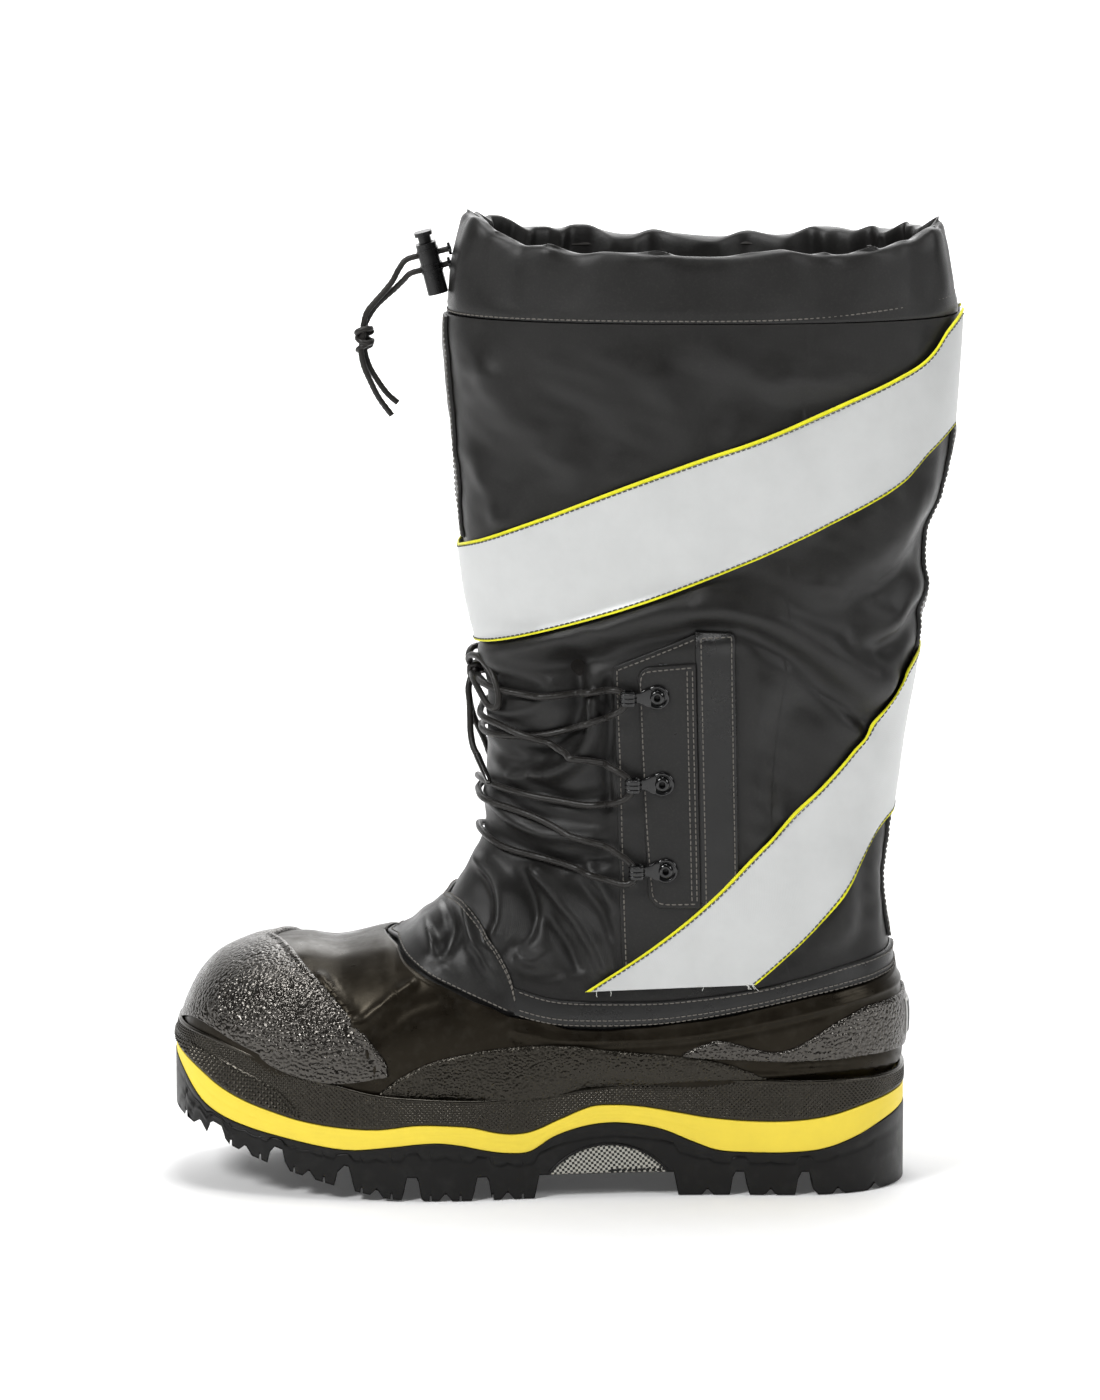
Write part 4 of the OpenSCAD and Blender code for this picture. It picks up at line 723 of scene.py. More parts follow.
TAIL_LATERAL = [[-40, -1, 218.5], [-41.5, -2.5, 213], [-41, -3.5, 206.5],
    [-40.8, -4, 200], [-40.6, -5, 194], [-39.6, -7.4, 188.5], [-37.9, -10.6, 185.2]]
TAIL_MEDIAL = [[-40, 1, 218.5], [-41.5, 4, 212], [-41, 8, 205], [-39.5, 12.5, 198],
    [-37, 17.5, 191.5], [-35, 21, 186.5], [-33.5, 23.5, 182]]


def free_cord(name, route, d, node):
    path = resample(along(route, np.linspace(0, 1, 400)), 0.45)
    v, f = join_tubes([tube_points(path, d / 2 * 1.04, 16, braid=0.10, pitch=d * 2.0)])
    ob = add_mesh(name, v, f, M["lace"], "lace", [node], smooth_by=75)
    return ob


def knot(name, turns, d, node):
    """turns: (centre, two axes) of each wrap."""
    tubes = []
    for c, u, w in turns:
        a = np.linspace(0, 2 * np.pi * 1.04, 90)[:, None]
        rise = np.linspace(-0.25, 0.25, 90)[:, None] * d
        n = unit(np.cross(u, w))
        path = np.asarray(c) + np.cos(a) * np.asarray(u) + np.sin(a) * np.asarray(w) + n * rise
        tubes.append(tube_points(path, d / 2 * 1.04, 14, braid=0.10, pitch=d * 2))
    v, f = join_tubes(tubes)
    return add_mesh(name, v, f, M["lace"], "lace", [node], smooth_by=75)


def lace_tip_points(route):
    """A tapered tip of 16 mm that carries on from a route's end."""
    before, end = np.array(route[-2:], float)
    way = unit(end - before)
    s = np.array([0, 0.02, 0.3, 1, 6, 11, 14.5, 15.6, 16.0])
    r = np.array([1.30, 1.5, 1.6, 1.6, 1.55, 1.5, 1.4, 1.1, 0.4])
    return tube_points(end + s[:, None] * way, r, 20)


def make_cords():
    v, f = join_tubes([lace_tip_points(TAIL_LATERAL), lace_tip_points(TAIL_MEDIAL)])
    tips = add_mesh("lace_tip_pair", v, f, M["tip"], "lace_tip", ["lace_tips"], smooth_by=60)
    free_cord("bow_loop_lateral", BOW, LACE_D, "lace_bow_lateral")
    free_cord("bow_loop_medial", [[p[0], -p[1], p[2]] for p in BOW], LACE_D,
        "lace_bow_medial")
    free_cord("lace_end_lateral", TAIL_LATERAL, LACE_D, "lace_tail_lateral")
    free_cord("lace_end_medial", TAIL_MEDIAL, LACE_D, "lace_tail_medial")
    kn = knot("drawcord_overhand_knot", [
        ((-85.8, 1, 366.2), (3.0, 0.4, 0.6), (0.3, 3.0, -0.9)),
        ((-85.6, 1, 362.6), (2.9, -0.4, -1.0), (0.4, 2.9, 1.0)),
        ((-85.9, 1, 359.6), (2.4, 0.6, 1.2), (-0.3, 2.6, -0.6))],
        CORD_D, "drawcord_knot")
    free_cord("drawcord_upper_end", END_UPPER, CORD_D, "drawcord_end_upper")
    free_cord("drawcord_lower_end", END_LOWER, CORD_D, "drawcord_end_lower")
    knot("lace_knot_wraps", [
        ((-38.8, 0, 220.5), (0.2, 3.0, 0.6), (1.5, 0.3, 3.0)),
        ((-39.4, 0.4, 219.6), (1.4, 2.6, -1.2), (0.4, -0.8, 3.0)),
        ((-38.4, -0.3, 221.4), (2.4, -0.6, 0.4), (0.4, 2.9, -1.4))],
        LACE_D, "lace_knot")


make_cords()


def edge_distance(p):
    """Distance of each grid point from the nearest edge, along the grid, in mm."""
    out = np.full(p.shape[:2], 1e9)
    for axis in (0, 1):
        step = np.linalg.norm(np.diff(p, axis=axis), axis=-1)
        s = np.concatenate([np.zeros_like(np.take(step, [0], axis)), np.cumsum(step, axis)], axis)
        total = np.take(s, [-1], axis)
        out = np.minimum(out, np.minimum(s, total - s))
    return out


def patch(name, q, din, dout, mat, slot, nodes, on=cloth, roll=0.7, crown=0.0, relief=None,
          **kw):
    """A thick piece over sections q[..., 0] and angles q[..., 1], its edges rounded."""
    t, a = q[..., 0], q[..., 1]
    base = on(t, a, din)
    e = edge_distance(base)
    k = np.clip(e / roll, 0, 1)
    h = (dout - din) * (0.25 + 0.75 * np.sqrt(1 - (1 - k) ** 2))
    if crown:
        h = h + crown * (1 - np.exp(-e / 3.0))
    if relief is not None:
        h = h + relief(base, e)
    outer = on(t, a, din + h)
    return skin(name, outer, base, M[mat], slot, nodes, **kw)


def side_strip(low, high, side, u, v):
    return on_side(mix(along(low, u)[:, None], along(high, u)[:, None], v[None, :, None]), side)


def wrap_strip(low, high, centre, u, v):
    """Between two lines that reach the middle line at their last point, on both sides."""
    a, b = located(low), located(high)
    a[-1, 1] = b[-1, 1] = centre
    s = 2 * u - 1
    r = 1 - np.abs(s)
    q = mix(along(a, r)[:, None], along(b, r)[:, None], v[None, :, None])
    p = mix(along(low, r)[:, None], along(high, r)[:, None], v[None, :, None])
    flat = on_side(p, LATERAL)
    n = len(low) - 1
    w = smooth(n - 2.2, n - 1.2, r * n)[:, None, None]
    q = mix(flat, q, w)
    q[s >= 0, :, 1] *= -1
    return q


def rounded_quad(corners, side, nu, nv, radius):
    """A four-cornered patch with rounded corners; radius at its four corners, in mm."""
    c = np.asarray(corners, float)
    w = (np.linalg.norm(c[1] - c[0]) + np.linalg.norm(c[2] - c[3])) / 2
    h = (np.linalg.norm(c[3] - c[0]) + np.linalg.norm(c[2] - c[1])) / 2
    x, y = np.meshgrid(spaced(nu, 1.2, w) * w, spaced(nv, 1.2, h) * h, indexing="ij")
    places = [(0, 0), (1, 0), (1, 1), (0, 1)]
    for (px, py), r in zip(places, radius):
        if r <= 0:
            continue
        p = (x - (w - r)) if px else (r - x)
        q = (y - (h - r)) if py else (r - y)
        near = (p > 0) & (q > 0)
        m, l = np.maximum(p, q), np.hypot(p, q)
        k = np.where(near, m / np.maximum(l, 1e-9), 1)
        x = np.where(near, ((w - r) + p * k) if px else (r - p * k), x)
        y = np.where(near, ((h - r) + q * k) if py else (r - q * k), y)
    u, v = (x / w)[..., None], (y / h)[..., None]
    return on_side(mix(mix(c[0], c[1], u), mix(c[3], c[2], u), v), side)


def inset_line(q, u, v):
    """A line through a grid q of sections and angles, at fractional grid places."""
    nu, nv = q.shape[:2]
    i, j = np.asarray(u, float) * (nu - 1), np.asarray(v, float) * (nv - 1)
    i0, j0 = np.minimum(i.astype(int), nu - 2), np.minimum(j.astype(int), nv - 2)
    f, g = (i - i0)[..., None], (j - j0)[..., None]
    return (q[i0, j0] * (1 - f) * (1 - g) + q[i0 + 1, j0] * f * (1 - g)
        + q[i0, j0 + 1] * (1 - f) * g + q[i0 + 1, j0 + 1] * f * g)


STITCHES = {"thread": [], "thread_grey": []}


def sew(points, outs, length=1.8, space=0.6, width=0.31, kind="thread"):
    """Stitches along a line of points; outs are the directions away from the fabric."""
    s = run(points)
    n = int(s[-1] / (length + space))
    if n < 1:
        return
    pitch = s[-1] / n
    prof = np.array([-0.5, -0.42, -0.2, 0.2, 0.42, 0.5])
    rise = np.array([-0.7, 0.1, 0.5, 0.5, 0.1, -0.7])
    thick = np.array([0.35, 0.85, 1.0, 1.0, 0.85, 0.35])
    for k in range(n):
        at = (k + 0.5) * pitch + prof * length
        p, o = at_lengths(at, s, points), unit(at_lengths(at, s, outs))
        STITCHES[kind].append(tube_points(p + o * (rise[:, None] * width), width * thick, 6))


def sew_on(q, d, **kw):
    """Stitches along sections and angles q, at the surface d."""
    low, high = cloth(q[:, 0], q[:, 1], d), cloth(q[:, 0], q[:, 1], d + 1)
    sew(low, high - low, **kw)


def sew_side(line, side, d, **kw):
    sew_on(on_side(along(line, np.linspace(0, 1, 240)), side), d, **kw)


def finish_stitches():
    for kind, tubes in STITCHES.items():
        if tubes:
            v, f = join_tubes(tubes)
            add_mesh("seams_" + kind, v, f, M[kind],
                "shaft_fabric" if kind == "thread" else "reflective_tape", smooth_by=80)


# ---------------------------------------------------------------- the sole
def foot_half(x, grow):
    """Half the footprint's width at x, grown by so many mm."""
    x = np.asarray(x, float)
    tip, end = FOOT_TOE_L + grow, FOOT_HEEL_L + grow
    c = np.clip((HINGE_X - x) / tip, 0, 1) ** (TOE_P / 2)
    toe = (curve(FOOT_MID, HINGE_X) + grow) * np.sqrt(np.maximum(1 - c**2, 0)) ** (2 / TOE_P)
    c = np.clip((x - HEEL_X) / end, 0, 1) ** (FOOT_HEEL_P / 2)
    heel = (curve(FOOT_MID, HEEL_X) + grow) * np.sqrt(np.maximum(1 - c**2, 0)) ** (2 / FOOT_HEEL_P)
    return np.where(x < HINGE_X, toe, np.where(x > HEEL_X, heel, curve(FOOT_MID, x) + grow))


def foot_edge(n, grow=0.0):
    """The footprint's edge, evenly spaced, with the directions straight out of it."""
    a = np.radians(np.linspace(0, 90, 1500))
    x0 = HINGE_X - (FOOT_TOE_L + grow) * np.cos(a) ** (2 / TOE_P)
    x1 = np.linspace(HINGE_X, HEEL_X, 1500)[1:]
    x2 = HEEL_X + (FOOT_HEEL_L + grow) * np.cos(a[::-1][1:]) ** (2 / FOOT_HEEL_P)
    h = [(curve(FOOT_MID, HINGE_X) + grow) * np.sin(a) ** (2 / TOE_P),
        curve(FOOT_MID, x1) + grow,
        (curve(FOOT_MID, HEEL_X) + grow) * np.sin(a[::-1][1:]) ** (2 / FOOT_HEEL_P)]
    x, h = np.concatenate([x0, x1, x2]), np.concatenate(h)
    near = np.stack([x, curve(FOOT_SWING, x) - h], -1)
    far = np.stack([x, curve(FOOT_SWING, x) + h], -1)[::-1]
    p = np.concatenate([near, far[1:-1], near[:1]])
    s = run(p)
    p = at_lengths(np.linspace(0, s[-1], n, endpoint=False), s, p)
    way = np.roll(p, -2, 0) - np.roll(p, 2, 0)
    out = unit(np.stack([way[:, 1], -way[:, 0]], -1))
    mid = np.stack([np.full(n, -10.0), np.zeros(n)], -1)
    out = out * np.sign(((p - mid) * out).sum(-1, keepdims=True))
    return p, out, s[-1]


def stations(extra=()):
    """Places along the boot where the sole's slabs are cut, closer together at both ends."""
    a = np.linspace(0, 90, 40)
    toe = HINGE_X - FOOT_TOE_L * np.cos(np.radians(a)) ** (2 / TOE_P)
    heel = HEEL_X + FOOT_HEEL_L * np.cos(np.radians(a[::-1])) ** (2 / FOOT_HEEL_P)
    x = np.concatenate([toe, np.arange(-71, HEEL_X, 1.2), heel, np.asarray(extra, float)])
    x = np.unique(np.round(x, 3))
    return x[np.concatenate([[True], np.diff(x) > 0.05])]


def slab(name, xs, low, high, grow, mat, slot, nodes, side_out, bottom=None, wall=14, across=41):
    """A slab of the footprint. side_out(x, v, z): the wall's swell at height share v."""
    rows = []
    fan = np.sin(np.linspace(-np.pi / 2, np.pi / 2, across))
    v = spaced(wall, 0.12)
    for x in xs:
        half, mid = float(foot_half(x, grow)), float(curve(FOOT_SWING, x))
        lo, hi = float(low(x)), float(high(x))
        y = fan * half
        base = np.full(across, lo) if bottom is None else bottom(x, y, lo, half)
        z_r = mix(base[-1], hi, v[1:-1])
        z_l = mix(base[0], hi, v[1:-1])
        wide = half + side_out(x, v[1:-1], z_r) * min(1, half / 12)
        ys = np.concatenate([mid + y, mid + wide, mid + y[::-1], (mid - wide)[::-1]])
        zs = np.concatenate([base, z_r, np.full(across, hi), z_l[::-1]])
        rows.append(np.stack([np.full(len(ys), x), ys, zs], -1))
    p = np.stack(rows)
    n, m = p.shape[:2]
    idx = np.arange(n * m).reshape(n, m)
    idx = np.concatenate([idx, idx[:, :1]], 1)
    j = np.arange(m // 2)
    caps = np.stack([j, j + 1, m - 2 - j, m - 1 - j], -1)
    caps = caps[[len(set(q)) == 4 for q in caps]]
    q = np.concatenate([grid_quads(idx), caps, (n - 1) * m + caps[:, ::-1]])
    v_all = p.reshape(-1, 3)
    q, t = tidy_faces(q)
    q, t = outward(v_all, q, t)
    uv = v_all[:, [0, 2]]
    return add_mesh(name, v_all, (q, t), M[mat], slot, nodes, uv=uv, smooth_by=38)


LUG_H, LUG_GAP, WEB_MIN = 10.0, 8.0, 5.0
ARCH_FRONT, ARCH_BACK, ARCH_RAMP = -13, 48.5, 2
NOTCH_HALF, SIPE_OFF, SIPE_HALF = 2.8, 6.4, 0.42
HEEL_NOTCHES = (61, 88, 117, 133)
EDGE_POINTS, GUARD_END = 3200, -113.5


def lug_middles():
    """The middles of the lugs ahead of the arch, where their notches are."""
    edges = [-168] + LUG_GAPS[:5] + [ARCH_FRONT]
    return [(a + b) / 2 + (2 if a < -160 else 0) for a, b in zip(edges[:-1], edges[1:])]


def tread(x, y, lo, half):
    """Underside of the outsole: gaps, channels, notches and sipes."""
    ground = float(curve(GROUND, x))
    up = np.zeros_like(y)
    for g in LUG_GAPS:
        h = min(LUG_H, float(curve(MIDSOLE_BOTTOM, g) - curve(GROUND, g)) - WEB_MIN)
        lean = 0.9 * np.clip((np.abs(y) - 22) / 30, 0, 1)
        r = np.abs(x - g - lean * 0.8)
        up = np.maximum(up, h * np.clip((LUG_GAP / 2 - r) / (LUG_GAP * 0.2), 0, 1))
    arch = (np.clip((x - ARCH_FRONT) / ARCH_RAMP, 0, 1)
        * np.clip((ARCH_BACK - x) / ARCH_RAMP, 0, 1))
    up = np.maximum(up, LUG_H * arch)
    chan = np.clip((2.9 - np.abs(np.abs(y) - 19)) / 0.8, 0, 1)
    chan = chan if -140 < x < 130 else chan * 0
    up = np.maximum(up, LUG_H * 0.7 * chan)
    for m in lug_middles():
        notch = 3.4 * np.clip(1 - abs(x - m) / NOTCH_HALF, 0, 1)
        up = np.maximum(up, notch * (np.abs(y) > half - 11))
        for s in (-SIPE_OFF, SIPE_OFF):
            up = np.maximum(up, 2.4 * (abs(x - m - s) < SIPE_HALF) * (np.abs(y) > half - 9))
    for m in HEEL_NOTCHES:
        up = np.maximum(up, 2.8 * np.clip(1 - abs(x - m) / 2.2, 0, 1) * (np.abs(y) > half - 9))
    top = float(curve(MIDSOLE_BOTTOM, x)) - 3
    return np.minimum(ground + up, max(top, ground))


def make_sole():
    """Outsole and midsole as slabs of the footprint, then all that sits on their edge."""
    extra = []
    for g in LUG_GAPS:
        extra += [g + s + k for s in (-4, -2.4, 2.4, 4) for k in (-0.1, 0.1)]
    for m in lug_middles():
        extra += [m + s for s in (-NOTCH_HALF, 0, NOTCH_HALF)]
        extra += [m + s + k for s in (-SIPE_OFF, SIPE_OFF) for k in (-0.5, -0.38, 0.38, 0.5)]
    extra += [ARCH_FRONT, ARCH_FRONT + ARCH_RAMP, ARCH_BACK - ARCH_RAMP, ARCH_BACK]
    extra += HEEL_NOTCHES

    def wall(x, v, z):
        lip = 0.55 * smooth(0.80, 0.90, v)
        line = -0.35 * np.exp(-((v - 0.76) / 0.035) ** 2)
        cut = np.zeros_like(v)
        for x0 in (-163.5, -158):
            cut = cut - 1.5 * np.exp(-((x - x0 - (z - 38) * 0.45) / 0.9) ** 2) * (v < 0.72)
        heel = -0.9 * smooth(128, 140, x) * smooth(0.5, 0.35, v)
        toe_rib = 0.5 * np.exp(-((v - 0.45) / 0.08) ** 2) * smooth(-140, -152, x)
        pull = -0.35 * smooth(0.12, 0.0, v)
        return lip + line + cut + heel + toe_rib + pull

    slab("lugged_outsole", stations(extra), lambda x: curve(GROUND, x),
        lambda x: curve(MIDSOLE_BOTTOM, x), 0.25, "outsole", "outsole_rubber", ["outsole"], wall,
        bottom=tread, wall=26, across=121)

    def soft_wall(x, v, z):
        return 0.25 + 0.3 * np.sin(np.pi * v) ** 0.5 - 0.18 * np.exp(-((v - 0.52) / 0.05) ** 2)

    slab("cushion_midsole", stations(), lambda x: curve(MIDSOLE_BOTTOM, x) + 0.15,
        lambda x: curve(MIDSOLE_TOP, x), 0.0, "midsole", "midsole_yellow", ["midsole"], soft_wall,
        wall=14)
    make_inserts()
    make_foxing()
    make_guard()


def wall_y(x, side, out):
    """Across the boot, the place of the footprint's edge grown by out."""
    return side * (foot_half(x, 0.0) + out) + curve(FOOT_SWING, x)


def arch_top(x):
    """The height of the arch over x: a circle through its ends and its crown."""
    width, rise, crown = 51, 12.5, 22.5
    r = (width ** 2 / 4 + rise ** 2) / (2 * rise)
    return np.minimum(crown - r + np.sqrt(np.maximum(r * r - (x - 18.5) ** 2, 0)), 22.4)


def make_inserts():
    """Curved mesh panels in the arch, each in a raised frame with a row of nubs."""
    floor, front, back = 10.1, -6.9, 43.9
    x = np.linspace(front, back, 70)
    top = np.maximum(arch_top(x), 10.3)
    z = mix(floor, top[:, None], spaced(18, 0.1)[None])
    across = x[:, None] + 0 * z
    e = np.minimum(np.minimum(z - floor, top[:, None] - z),
        np.minimum(x - front, back - x)[:, None])
    swell = 0.25 + 0.5 * np.clip(e / 1.2, 0, 1)
    s = np.linspace(0, 1, 6)
    dome = 0.85 * np.sqrt(np.maximum(1 - (s * 0.98) ** 4, 0.02))
    rail = np.linspace(-6.5, 43.5, 80)
    for side, name in ((-1, "lateral"), (1, "medial")):
        y = wall_y(x, side, 0.0)[:, None]
        outer = np.stack([across, y + side * swell, z], -1)
        inner = np.stack([across, y - side * 6.0 + 0 * z, z], -1)
        skin("mesh_insert_" + name, outer, inner, M["arch"], "arch_mesh",
            ["arch_insert_" + name], smooth_by=60)
        tubes = []
        for nub in 20 + np.arange(9) * 2.55:
            foot = np.array([nub, float(wall_y(nub, side, 0.25)), 11.2])
            tubes.append(tube_points(foot + np.array([0, side, 0]) * s[:, None], dome, 10))
        frame_p = np.stack([rail, wall_y(rail, side, 0.5),
            np.maximum(arch_top(rail) + 0.35, 10.5)], -1)
        tubes.append(tube_points(frame_p, 0.55, 8))
        v, f = join_tubes(tubes)
        add_mesh("insert_frame_" + name, v, f, M["outsole"], "outsole_rubber", smooth_by=60)


def lean(x, z):
    """How far the foxing leans in over the toe, in mm."""
    low, high = curve(MIDSOLE_TOP, x), curve(RAND_EDGE, x)
    s = np.clip((z - low) / np.maximum(high - low, 1.5), 0, 1)
    return 1.7 * smooth(-88, -128, x) * s ** 1.6


def knurled_wall(name, node, p, out, z, swell, depth, **kw):
    """A strip along the footprint's edge, with its front's swell and its back's depth."""
    front = np.concatenate([p[:, None] + out[:, None] * swell[..., None], z[..., None]], -1)
    back = np.concatenate([p[:, None] - out[:, None] * depth[..., None], z[..., None]], -1)
    if "wrap" in kw:
        front, back = front.transpose(1, 0, 2), back.transpose(1, 0, 2)
    skin(name, front, back, M["knurl"], "shell_rubber", [node], smooth_by=70, **kw)


def crossed(s, z, pitch):
    """Distance from the nearest of two sets of slanted lines, 0 to 0.5 of their pitch."""
    return np.minimum(*(np.abs((way / pitch) % 1 - 0.5) for way in (s + z, s - z)))


def make_foxing():
    p, out, total = foot_edge(EDGE_POINTS)
    s = np.arange(EDGE_POINTS) * total / EDGE_POINTS
    lo = curve(MIDSOLE_TOP, p[:, 0]) + 0.1
    hi = np.maximum(curve(RAND_EDGE, p[:, 0]), lo + 1.5)
    z = mix(lo[:, None], hi[:, None], spaced(54, 0.03)[None])
    e = np.minimum(z - lo[:, None], hi[:, None] - z)
    knurl = 0.6 * np.clip(crossed(s[:, None], z, 2.0) * 2.6 - 0.1, 0, 0.85)
    band = smooth(1.4, 2.0, hi[:, None] - z) * smooth(0.9, 1.4, z - lo[:, None])
    bead = 0.42 * smooth(1.5, 0.9, hi[:, None] - z)
    roll = 0.9 * (np.sqrt(np.clip(1 - (1 - np.clip(e / 0.9, 0, 1)) ** 2, 0, 1)) - 1)
    tip = lean(p[:, :1] + 0 * z, z)
    knurled_wall("knurled_foxing", "foxing_strip", p, out, z, knurl * band + bead + roll - tip,
        1.5 + tip, wrap=True)


def make_guard():
    p, out, _ = foot_edge(EDGE_POINTS)
    front, half = p[:, 0] < GUARD_END, EDGE_POINTS // 2
    near = np.arange(EDGE_POINTS) < half
    order = np.concatenate([np.where(front & ~near)[0], np.where(front & near)[0]])[::2]
    p, out = p[order], out[order]
    lo = curve(MIDSOLE_TOP, p[:, 0]) + 0.4
    hi = np.maximum(curve(GUARD_EDGE, p[:, 0]), lo + 0.3)
    z = mix(lo[:, None], hi[:, None], spaced(60, 0.03)[None])
    e = np.minimum(z - lo[:, None], hi[:, None] - z)
    lines = crossed(run(p)[:, None], z * 0.9, 2.75) * 2
    pyramid = np.clip(lines * 1.25 - 0.1, 0, 0.85)
    tip = lean(p[:, :1] + 0 * z, z)
    swell = 0.30 + pyramid * smooth(0.5, 1.3, e) - 0.25 * smooth(0.5, 0.0, e) - tip
    knurled_wall("toe_knurl", "toe_guard", p, out, z, swell, 0.3 + tip)


# ---------------------------------------------------------------- the rubber lower
PANEL_IN, PANEL_OUT = 2.75, 4.0
SHELL_LINE = np.array(VAMP_EDGE + COLLAR_EDGE[1:-1], float)
SHELL_LOC = located(SHELL_LINE)
SHELL_OPEN_T = SHELL_LOC[0, 0]
SHELL_END_T = float(locate(144, 93)[0])
SHELL_RIDGES = [
    ([(-124.7, 96.8), (-108.4, 98.5), (-98.5, 97), (-75.2, 101.4)], 2.0, 0.5),
    ([(-88, 74), (-82, 79), (-73, 86), (-64.5, 91.4)], 1.8, 1.8),
    ([(-106, 80), (-98, 77), (-88, 75)], 1.6, 1.4),
    ([(-104, 92), (-96, 84), (-88, 74), (-83, 62), (-80, 52)], 1.4, 2.1),
    ([(-100, 84), (-93, 72), (-87, 60), (-83, 52)], 2.6, -0.9),
    ([(-86, 66), (-77, 74), (-66, 82), (-54, 86)], 2.4, -0.6),
    ([(-22.4, 73.6), (-2.1, 69.6), (32.2, 69), (58, 71.5), (83.8, 76), (109.6, 81.5),
        (131.2, 86), (144.1, 88)], 1.5, 0.9),
    ([(-22.4, 70), (-2.1, 66), (32.2, 66), (58, 68.4), (83.8, 72.6), (109.6, 78)], 1.3, -0.4),
    ([(66.7, 54.5), (83, 53.4), (101, 53.6), (126.8, 54.4), (144, 54)], 1.1, 1.0),
    ([(92, 57), (110, 57.3), (126, 57.4), (144, 57)], 1.0, 0.9)]


def shell_relief(t, a):
    """How far the shell's moulded ridges and waves stand off it, in mm."""
    p = form(t, a)
    x, z = p[..., 0], p[..., 2]
    h = np.zeros(x.shape)
    for pts, w, k in SHELL_RIDGES:
        h += k * ridge(x, z, np.asarray(pts, float), w)
    soft = waves(p, 38, 0.5, 10, 4) * smooth(-60, -40, x)
    return h + soft * 0.6


def shell_skin(t, a, d=0.0):
    t, a, d = np.broadcast_arrays(t, a, d)
    return form(t, a, d + shell_relief(t, a))


def make_shell():
    """The moulded rubber: closed over the toe, open along the vamp and collar edges."""
    closed_rows, open_rows, cols = 90, 150, 300
    opening = np.concatenate([[[SHELL_OPEN_T, 0]], SHELL_LOC[1:], [[SHELL_END_T, 172]]])
    q0 = np.stack([SHELL_OPEN_T * np.linspace(0, 1, closed_rows) ** 1.3,
        np.zeros(closed_rows)], -1)
    q1 = along(opening, np.linspace(0, 1, open_rows + 1)[1:])
    q = np.concatenate([q0, q1])
    v = np.linspace(0, 1, cols + 1)
    start = np.maximum(q[:, 1], 0.02)
    a = mix(start[:, None], 360 - start[:, None], v[None])
    t = q[:, :1] + 0 * a
    lip = smooth(4.0, 0.0, np.minimum(a - start[:, None], 360 - start[:, None] - a)) * (
        np.arange(len(q)) > closed_rows)[:, None]
    outer = shell_skin(t, a, 2.5 - 0.6 * lip)
    inner = form(t, a, 0.35)
    skin("moulded_shell", outer, inner, M["shell"], "shell_rubber", ["rubber_shell"],
        pole=True, smooth_by=60)


def make_panels():
    """The rubber's raised panels and the blank label at the heel."""
    edge = located(BUMPER_EDGE)
    u, v = spaced(90, 0.02), np.linspace(0, 1, 240)
    s = 2 * v - 1
    b = along(edge, np.abs(s))
    last = edge[-1]
    f = np.stack([mix(0.09, last[0] - 0.03, np.abs(s) ** 3),
        mix(np.abs(s) * 104, last[1], np.abs(s) ** 3)], -1)
    q = mix(f[None], b[None], u[:, None, None])
    q[..., 1] = np.where(s[None] < 0, -q[..., 1], q[..., 1])

    def lip(base, e):
        back = np.linalg.norm(base - base[-1:], axis=-1)
        return 0.55 * np.exp(-((back - 1.6) / 1.3) ** 2) - 0.3 * np.exp(-((back - 4.6) / 1.6) ** 2)

    patch("pebbled_bumper", q, PANEL_IN, PANEL_OUT, "pebble", "panel_rubber", ["toe_bumper"],
        on=form, roll=1.2, relief=lip, smooth_by=60)
    xs = np.array([p[0] for p in SIDE_PANEL_EDGE], float)
    low = np.stack([xs, curve(RAND_EDGE, xs) + 1], -1)
    high = np.array([[p[0], max(p[1], float(curve(RAND_EDGE, p[0])) + 2)] for p in SIDE_PANEL_EDGE])
    for side, name in SIDES:
        q = side_strip(low, high, side, spaced(160, 0.01), spaced(34, 0.05))
        patch("grained_side_panel_" + name, q, PANEL_IN, PANEL_OUT, "grain", "panel_rubber",
            ["side_panel_" + name], on=form, roll=1.1, smooth_by=60)
    q = wrap_strip(COUNTER_BOTTOM, COUNTER_TOP, 180, spaced(260, 0.01), spaced(40, 0.04))
    patch("pebbled_counter", q, PANEL_IN, PANEL_OUT, "pebble", "panel_rubber",
        ["heel_counter_panel"], on=form, roll=1.1, smooth_by=60)
    t0, t1 = float(locate(146, 64)[0]), float(locate(146, 79)[0])
    for name, u, v, low, high, look, nodes, roll in (
            ("blank_label", spaced(34, 0.08), spaced(34, 0.08), 4.05, 4.55, "label_edge",
                ["heel_label"], 0.5),
            ("blank_label_field", spaced(30, 0.08) * 0.84 + 0.08, spaced(30, 0.08) * 0.86 + 0.07,
                4.5, 4.85, "label", [], 0.3)):
        q = np.stack(np.broadcast_arrays(mix(t0, t1, v)[None],
            180 + mix(-11, 11, u)[:, None]), -1)
        patch(name, q, low, high, look, "label", nodes, on=form, roll=roll)


